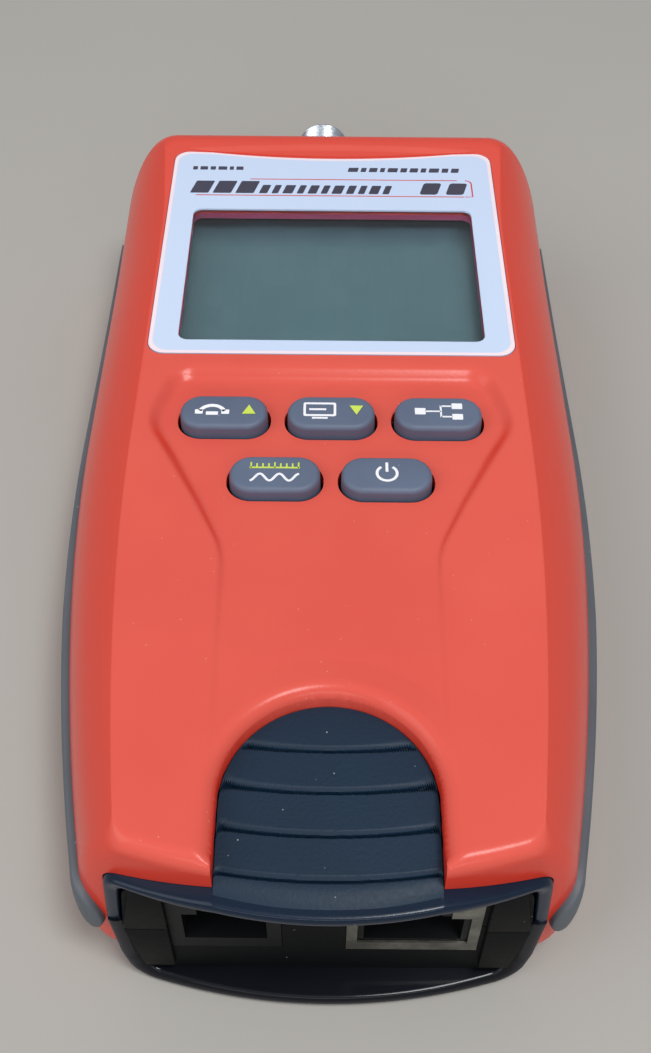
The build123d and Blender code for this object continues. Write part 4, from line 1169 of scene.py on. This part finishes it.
def makeMetalGroup():
    # brushed metal: streaks along one axis that change the colour and the roughness
    inputs = [
        ("Main Colour", "NodeSocketColor", (0.7, 0.7, 0.7, 1)),
        ("Second Colour", "NodeSocketColor", (0.5, 0.5, 0.5, 1)),
        ("Streak", "NodeSocketVector", (400.0, 4000.0, 4000.0)),
        ("Smooth", "NodeSocketFloat", 0.3),
        ("Smooth Spread", "NodeSocketFloat", 0.2),
    ]
    group, start, end = newGroup("brushedMetal", inputs, surfaceOutputs)
    place = addNode(group, "ShaderNodeTexCoord").outputs["Object"]
    stretched = addNode(group, "ShaderNodeVectorMath", operation="MULTIPLY")
    feed(group, stretched.inputs[0], place)
    feed(group, stretched.inputs[1], start.outputs["Streak"])
    streaks = noise(group, stretched.outputs["Vector"], 1.0, 4.0, 0.6)
    worn = mathNode(group, "MULTIPLY", streaks, noise(group, place, 260.0, 2.0))
    colour = mixColours(group, mapRange(group, worn, 0.1, 0.42), start.outputs["Second Colour"],
                        start.outputs["Main Colour"])
    feed(group, end.inputs["Colour"], colour)
    smooth = start.outputs["Smooth"]
    roughness = mathNode(group, "MULTIPLY_ADD", streaks, start.outputs["Smooth Spread"], smooth)
    feed(group, end.inputs["Roughness"], roughness)
    feed(group, end.inputs["Height"], streaks)
    return group


mouldedGroup = makeMouldedGroup()
metalGroup = makeMetalGroup()


def linear(red, green, blue):
    # screen colour, 0 to 255, as a linear colour with full alpha
    values = np.array([red, green, blue]) / 255
    low = values / 12.92
    high = ((values + 0.055) / 1.055) ** 2.4
    return tuple(np.where(values <= 0.04045, low, high)) + (1.0,)


def newMaterial(name):
    material = bpy.data.materials.new(name)
    material.use_nodes = True
    material.node_tree.nodes.clear()
    shader = addNode(material.node_tree, "ShaderNodeBsdfPrincipled")
    end = addNode(material.node_tree, "ShaderNodeOutputMaterial")
    material.node_tree.links.new(shader.outputs["BSDF"], end.inputs["Surface"])
    return material, shader


def surfaceMaterial(name, group, look, settings, edge=None, bumpDepth=0.0001):
    # a material whose colour, roughness and bump come from one of the two shared surfaces
    material, shader = newMaterial(name)
    tree = material.node_tree
    surface = addNode(tree, "ShaderNodeGroup", node_tree=group)
    surface.inputs["Main Colour"].default_value = linear(*look["colour"])
    surface.inputs["Second Colour"].default_value = linear(*look["second"])
    surface.inputs["Smooth"].default_value = look["rough"]
    for label, value in settings.items():
        surface.inputs[label].default_value = value
    colour = surface.outputs["Colour"]
    if edge:
        # painted shade: surfaces seen at a slant are painted a deeper colour, against the sheen
        facing = addNode(tree, "ShaderNodeLayerWeight", Blend=0.5).outputs["Facing"]
        colour = mixColours(tree, mapRange(tree, facing, 0.32, 0.72), colour, linear(*edge))
    feed(tree, shader.inputs["Base Color"], colour)
    feed(tree, shader.inputs["Roughness"], surface.outputs["Roughness"])
    bump = addNode(tree, "ShaderNodeBump", Strength=look["bump"], Distance=bumpDepth)
    feed(tree, bump.inputs["Height"], surface.outputs["Height"])
    feed(tree, shader.inputs["Normal"], bump.outputs["Normal"])
    return material, shader


def moulded(name, look):
    # plastic, rubber or print
    settings = {
        "Patch Scale": look.get("patch", 60.0),
        "Grain Scale": look.get("grain", 2200.0),
        "Smooth Spread": 0.12,
        "Dust": look.get("dust", 0.0),
    }
    material, shader = surfaceMaterial(name, mouldedGroup, look, settings, look.get("edge"))
    shader.inputs["Specular IOR Level"].default_value = look.get("specular", 0.5)
    shader.inputs["Coat Weight"].default_value = look.get("coat", 0.0)
    shader.inputs["Coat Roughness"].default_value = look.get("coatRough", 0.1)
    shader.inputs["Coat Tint"].default_value = look.get("coatTint", (1.0, 1.0, 1.0, 1.0))
    shader.inputs["IOR"].default_value = look.get("ior", 1.5)
    return material


def metal(name, look):
    settings = {"Streak": look.get("streak", (400.0, 4000.0, 4000.0)), "Smooth Spread": 0.2}
    material, shader = surfaceMaterial(name, metalGroup, look, settings, bumpDepth=0.00005)
    shader.inputs["Metallic"].default_value = 1.0
    return material


plastics = {
    "shellRed": {"colour": (207, 86, 73), "second": (203, 80, 69), "patch": 45, "rough": 0.24,
                 "bump": 0.1, "dust": 0.2, "ior": 1.28,
                 # painted shade: the deeper red painted on the shell's faces seen at a slant
                 "edge": (212, 52, 30)},
    # painted shade and painted reflection of the display and the lens, for the window hole's walls
    "paintedWallShade": {"colour": (190, 76, 118), "second": (176, 70, 112), "rough": 0.35, "bump": 0.1},
    "shroudBlack": {"colour": (6, 8, 13), "second": (10, 12, 17), "rough": 0.45, "bump": 0.15,
                    "dust": 0.4, "ior": 1.2,
                    "coat": 0.3, "coatRough": 0.08, "coatTint": (0.35, 0.45, 0.9, 1.0)},
    "shroudInner": {"colour": (8, 10, 11), "second": (13, 15, 16), "rough": 0.6, "bump": 0.2, "dust": 0.3,
                    "ior": 1.2},
    "shroudNavy": {"colour": (10, 29, 48), "second": (8, 25, 42), "rough": 0.32, "bump": 0.1, "dust": 0.2,
                   "ior": 1.3,
                   "coat": 0.15, "coatRough": 0.12, "coatTint": (0.45, 0.6, 1.0, 1.0)},
    "thumbPad": {"colour": (15, 38, 58), "second": (12, 33, 51), "rough": 0.5, "bump": 0.3, "dust": 0.4,
                 "specular": 0.25},
    "gripGrey": {"colour": (85, 91, 98), "second": (76, 82, 89), "rough": 0.55, "bump": 0.3, "dust": 0.5},
    "overlayFilm": {"colour": (190, 205, 229), "second": (186, 201, 227), "patch": 25, "rough": 0.3,
                    "bump": 0.05},
    "printDark": {"colour": (52, 52, 70), "second": (60, 58, 76), "rough": 0.4, "bump": 0.05},
    "printRed": {"colour": (196, 60, 60), "second": (188, 56, 58), "rough": 0.4, "bump": 0.05},
    "printBorder": {"colour": (232, 214, 220), "second": (226, 208, 216), "rough": 0.4, "bump": 0.05},
    "keySlate": {"colour": (86, 99, 121), "second": (80, 90, 112), "patch": 90, "rough": 0.55,
                 "bump": 0.2, "dust": 0.3},
    "inkWhite": {"colour": (232, 232, 236), "second": (222, 222, 228), "rough": 0.5, "bump": 0.05},
    "inkLime": {"colour": (196, 214, 84), "second": (186, 204, 80), "rough": 0.5, "bump": 0.05},
    "keypadMat": {"colour": (58, 50, 68), "second": (50, 44, 60), "rough": 0.6, "bump": 0.2},
    "pillCarbon": {"colour": (28, 28, 30), "second": (40, 40, 42), "rough": 0.7, "bump": 0.2},
    "innerBlack": {"colour": (12, 13, 15), "second": (18, 19, 22), "rough": 0.5, "bump": 0.15, "ior": 1.25},
    "diffuserWhite": {"colour": (226, 228, 224), "second": (214, 218, 214), "rough": 0.5, "bump": 0.1},
    "elastomerPink": {"colour": (206, 148, 150), "second": (190, 130, 134), "rough": 0.6, "bump": 0.1},
    "boardGreen": {"colour": (24, 92, 54), "second": (18, 74, 44), "patch": 240, "rough": 0.35,
                   "bump": 0.2},
    "chipBlack": {"colour": (34, 34, 36), "second": (44, 44, 46), "rough": 0.5, "bump": 0.25},
    "chipTan": {"colour": (168, 138, 98), "second": (150, 120, 84), "rough": 0.5, "bump": 0.1},
    "relayBody": {"colour": (222, 210, 186), "second": (212, 198, 172), "rough": 0.4, "bump": 0.1},
    "insulatorWhite": {"colour": (224, 224, 218), "second": (214, 212, 204), "rough": 0.4, "bump": 0.1},
    "batteryJacket": {"colour": (44, 54, 78), "second": (36, 46, 68), "rough": 0.3, "bump": 0.05},
    "foamGrey": {"colour": (70, 70, 74), "second": (52, 52, 56), "grain": 3000, "rough": 0.9, "bump": 0.8},
}
metals = {
    "canMetal": {"colour": (190, 190, 186), "second": (160, 160, 158), "rough": 0.25, "bump": 0.08},
    "shieldMetal": {"colour": (150, 150, 142), "second": (96, 96, 90), "rough": 0.3, "bump": 0.08,
                    "streak": (600.0, 4000.0, 600.0)},
    "contactGold": {"colour": (226, 184, 100), "second": (196, 150, 76), "rough": 0.2, "bump": 0.08},
    "nickel": {"colour": (214, 222, 232), "second": (178, 188, 200), "rough": 0.16, "bump": 0.08,
               "streak": (2000.0, 900.0, 2000.0)},
    "screwSteel": {"colour": (140, 142, 146), "second": (100, 102, 106), "rough": 0.3, "bump": 0.08,
                   "streak": (1500.0, 1500.0, 1500.0)},
}
skins = {name: moulded(name, look) for name, look in plastics.items()}
skins.update({name: metal(name, look) for name, look in metals.items()})


display = {"colour": (84, 116, 122), "farColour": (66, 82, 96), "shadeLength": 7.0}


def makeDisplayMaterial():
    # blank display: grey-green, darker towards the far edge where the case shades it
    material, shader = newMaterial("displayGreen")
    tree = material.node_tree
    place = addNode(tree, "ShaderNodeTexCoord").outputs["Object"]
    split = addNode(tree, "ShaderNodeSeparateXYZ")
    feed(tree, split.inputs["Vector"], place)
    far = boxOf("display_glass")[1][1] * mm
    shade = mapRange(tree, split.outputs["Y"], far - display["shadeLength"] * mm, far)
    dots = addNode(tree, "ShaderNodeTexBrick", Scale=1.0)
    dots.inputs["Color1"].default_value = linear(*display["colour"])
    dots.inputs["Color2"].default_value = linear(*[c + 3 for c in display["colour"]])
    dots.inputs["Mortar"].default_value = linear(*[c - 5 for c in display["colour"]])
    dots.inputs["Mortar Size"].default_value = 0.00003
    dots.inputs["Brick Width"].default_value = 0.0029
    dots.inputs["Row Height"].default_value = 0.0052
    dots.offset = 0.0
    feed(tree, dots.inputs["Vector"], place)
    colour = mixColours(tree, shade, dots.outputs["Color"], linear(*display["farColour"]))
    feed(tree, shader.inputs["Base Color"], colour)
    shader.inputs["Roughness"].default_value = 0.25
    return material


def makeWindowMaterial():
    material, shader = newMaterial("windowClear")
    shader.inputs["Base Color"].default_value = (0.96, 0.98, 1.0, 1)
    shader.inputs["Metallic"].default_value = 0.0
    shader.inputs["Transmission Weight"].default_value = 1.0
    shader.inputs["IOR"].default_value = 1.3
    tree = material.node_tree
    place = addNode(tree, "ShaderNodeTexCoord").outputs["Object"]
    smears = noise(tree, place, 180.0, 3.0)
    feed(tree, shader.inputs["Roughness"], mapRange(tree, smears, toMin=0.01, toMax=0.06))
    return material


skins["displayGreen"] = makeDisplayMaterial()
skins["windowClear"] = makeWindowMaterial()


def paintWallShade(piece, skin):
    # the walls of the window hole take a second material: a purple-red painted shade with a painted
    # reflection of the display and the lens
    mesh = piece.data
    centres = np.zeros(len(mesh.polygons) * 3)
    normals = np.zeros(len(mesh.polygons) * 3)
    mesh.polygons.foreach_get("center", centres)
    mesh.polygons.foreach_get("normal", normals)
    centres, normals = centres.reshape(-1, 3) / mm, normals.reshape(-1, 3)
    within = (np.abs(centres[:, 0]) < windowHigh[0] + 0.2) & (centres[:, 1] > windowLow[1] - 0.2)
    within &= (centres[:, 1] < windowHigh[1] + 0.2) & (np.abs(normals[:, 2]) < 0.5)
    mesh.materials.append(skins[skin])
    mesh.polygons.foreach_set("material_index", within.astype(np.int32))
    mesh.update()


def place(piece, body, slot, skin, replaced=(), sharp=35.0):
    smoothByAngle(piece, sharp)
    piece.data.materials.clear()
    piece.data.materials.append(skins[skin])
    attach(piece, body)
    if replaced:
        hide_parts(*replaced)
    print("piece", piece.name, len(piece.data.polygons))
    return piece


def paintNode(node, skin):
    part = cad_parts[node]
    if not part.material_slots:
        part.data.materials.append(skins[skin])
    for materialSlot in part.material_slots:
        materialSlot.link = "OBJECT"
        materialSlot.material = skins[skin]


frontShell = place(makeFrontShell(), "case", "shell_red", "shellRed", ["front_shell"], 50)
# painted shade and reflection on the walls of the window hole
paintWallShade(frontShell, "paintedWallShade")
rearShell = joinPieces("rearShell", [makeRearShell(), makeBayWalls()])
place(rearShell, "case", "shell_red", "shellRed", ["rear_shell"])
for side, label in ((1, "Right"), (-1, "Left")):
    node = "side_grip_" + label.lower()
    place(gripStrip("grip" + label, side), "case", "grip_grey", "gripGrey", [node], 50)

place(shroudSleeve("shroudUpper", True), "case", "shroud_black", "shroudNavy", ["port_shroud_upper"])
place(makePanel("panelUpper", True), "case", "shroud_black", "shroudInner")
place(makeThumbPad("thumbPad"), "case", "shroud_black", "thumbPad", sharp=30)
place(shroudSleeve("shroudLower", False), "case", "shroud_black", "shroudBlack", ["port_shroud_lower"])
place(makePanel("panelLower", False), "case", "shroud_black", "shroudInner")

for name in keys["names"]:
    body = name + "_body"
    place(makeKey(name), body, "key_slate", "keySlate", [name], 50)
    white, lime = keyLegends(name)
    inkLow = boxOf(name)[1][2] - keyShape["topDrop"] - 0.02
    if white:
        place(inkPiece(name + "_whiteMark", white, inkLow, 0.05), body, "key_slate", "inkWhite")
    if lime:
        place(inkPiece(name + "_limeMark", lime, inkLow, 0.05), body, "key_slate", "inkLime")

place(makeOverlay(), "case", "label_print", "overlayFilm", ["overlay_label"])
darkPrint, redPrint, borderPrint, printZ = overlayPrint()
place(inkPiece("overlayBorder", borderPrint, printZ - 0.01, 0.02), "case", "label_print", "printBorder")
place(inkPiece("overlayDark", darkPrint, printZ - 0.01, 0.02), "case", "label_print", "printDark")
place(inkPiece("overlayRed", redPrint, printZ - 0.01, 0.02), "case", "label_print", "printRed")

place(makeCoaxBody(), "case", "nickel", "nickel", ["coax_connector_body"], 25)
place(makeCoaxNut(), "case", "nickel", "nickel", ["coax_nut"], 25)

nodeSkins = {
    "windowClear": ["display_window"],
    "displayGreen": ["display_glass"],
    "diffuserWhite": ["display_backlight"],
    "elastomerPink": ["display_connector_strips"],
    "keypadMat": ["keypad_mat"],
    "pillCarbon": [name + "_pill" for name in keys["names"]],
    "boardGreen": ["main_board"],
    "chipBlack": ["microcontroller", "sounder"],
    "chipTan": ["small_components"],
    "relayBody": ["relays"],
    "innerBlack": ["display_frame", "data_socket_insert", "phone_socket", "battery_contact_block"],
    "shieldMetal": ["data_socket_shield"],
    "contactGold": ["data_socket_contacts", "phone_socket_contacts", "coax_centre_contact"],
    "canMetal": ["crystal", "battery_terminals", "battery_contact_springs"],
    "insulatorWhite": ["coax_insulator"],
    "nickel": ["coax_washer"],
    "screwSteel": ["case_screws", "board_screws"],
    "batteryJacket": ["battery"],
    "foamGrey": ["battery_foam_pad"],
    "shellRed": ["battery_door"],
}
for skin, nodes in nodeSkins.items():
    for node in nodes:
        paintNode(node, skin)
print("materials on", sum(len(nodes) for nodes in nodeSkins.values()), "frame nodes")


studio = {
    "floorHalf": 3.0,
    "floorGap": 0.0002,
    "floorColour": (164, 161, 156),
    "worldLevel": 0.42,
    "keyPower": 6.3,
    "fillPower": 3.4,
    "rimPower": 1.9,
}


def makeFloor():
    share = np.linspace(-studio["floorHalf"], studio["floorHalf"], 61)
    x, y = np.meshgrid(share, share)
    points = np.stack([x, y, np.full_like(x, cadBox[0][2] - studio["floorGap"])], -1) / mm
    floor = gridPiece("floor", points)
    look = {"colour": studio["floorColour"], "second": [c - 3 for c in studio["floorColour"]], "patch": 6,
            "grain": 700, "rough": 0.7, "bump": 0.03, "specular": 0.2}
    floor.data.materials.append(moulded("floorPaper", look))


def addLight(name, position, width, height, power):
    # a rectangle of light that faces the object
    lamp = bpy.data.lights.new(name, "AREA")
    lamp.shape = "RECTANGLE"
    lamp.size = width
    lamp.size_y = height
    lamp.energy = power
    holder = bpy.data.objects.new(name, lamp)
    bpy.context.scene.collection.objects.link(holder)
    holder.location = position
    holder.rotation_euler = (-mathutils.Vector(position)).to_track_quat("-Z", "Y").to_euler()


makeFloor()
addLight("keyLight", (0.24, -0.28, 0.95), 0.28, 0.28, studio["keyPower"])
addLight("fillLight", (-0.7, -0.3, 0.7), 0.7, 0.7, studio["fillPower"])
addLight("frontLight", (0.0, -0.9, 0.5), 0.8, 0.2, studio["rimPower"])

world = bpy.data.worlds.new("studio")
world.use_nodes = True
world.node_tree.nodes["Background"].inputs["Color"].default_value = (0.96, 0.98, 1.0, 1)
world.node_tree.nodes["Background"].inputs["Strength"].default_value = studio["worldLevel"]
bpy.context.scene.world = world
bpy.context.scene.view_settings.view_transform = "Standard"
bpy.context.scene.view_settings.look = "None"

eye = {"x": -0.61, "y": -132.64, "z": 158.16, "down": 0.8674, "roll": 0.0087, "yaw": 0.0004, "lens": 68.57}
lens = bpy.data.cameras.new("viewpoint")
lens.sensor_fit = "HORIZONTAL"
lens.sensor_width = 36.0
lens.lens = eye["lens"]
lens.clip_start = 0.01
viewpoint = bpy.data.objects.new("viewpoint", lens)
bpy.context.scene.collection.objects.link(viewpoint)
viewpoint.location = (eye["x"] * mm, eye["y"] * mm, eye["z"] * mm)
pitch = mathutils.Euler((math.pi / 2 - eye["down"], 0, 0)).to_matrix()
rolled = mathutils.Euler((0, 0, eye["roll"])).to_matrix()
turned = mathutils.Euler((0, 0, eye["yaw"])).to_matrix()
viewpoint.rotation_mode = "QUATERNION"
viewpoint.rotation_quaternion = (turned @ pitch @ rolled).to_quaternion()
bpy.context.scene.camera = viewpoint

print("cad box", cadBox)
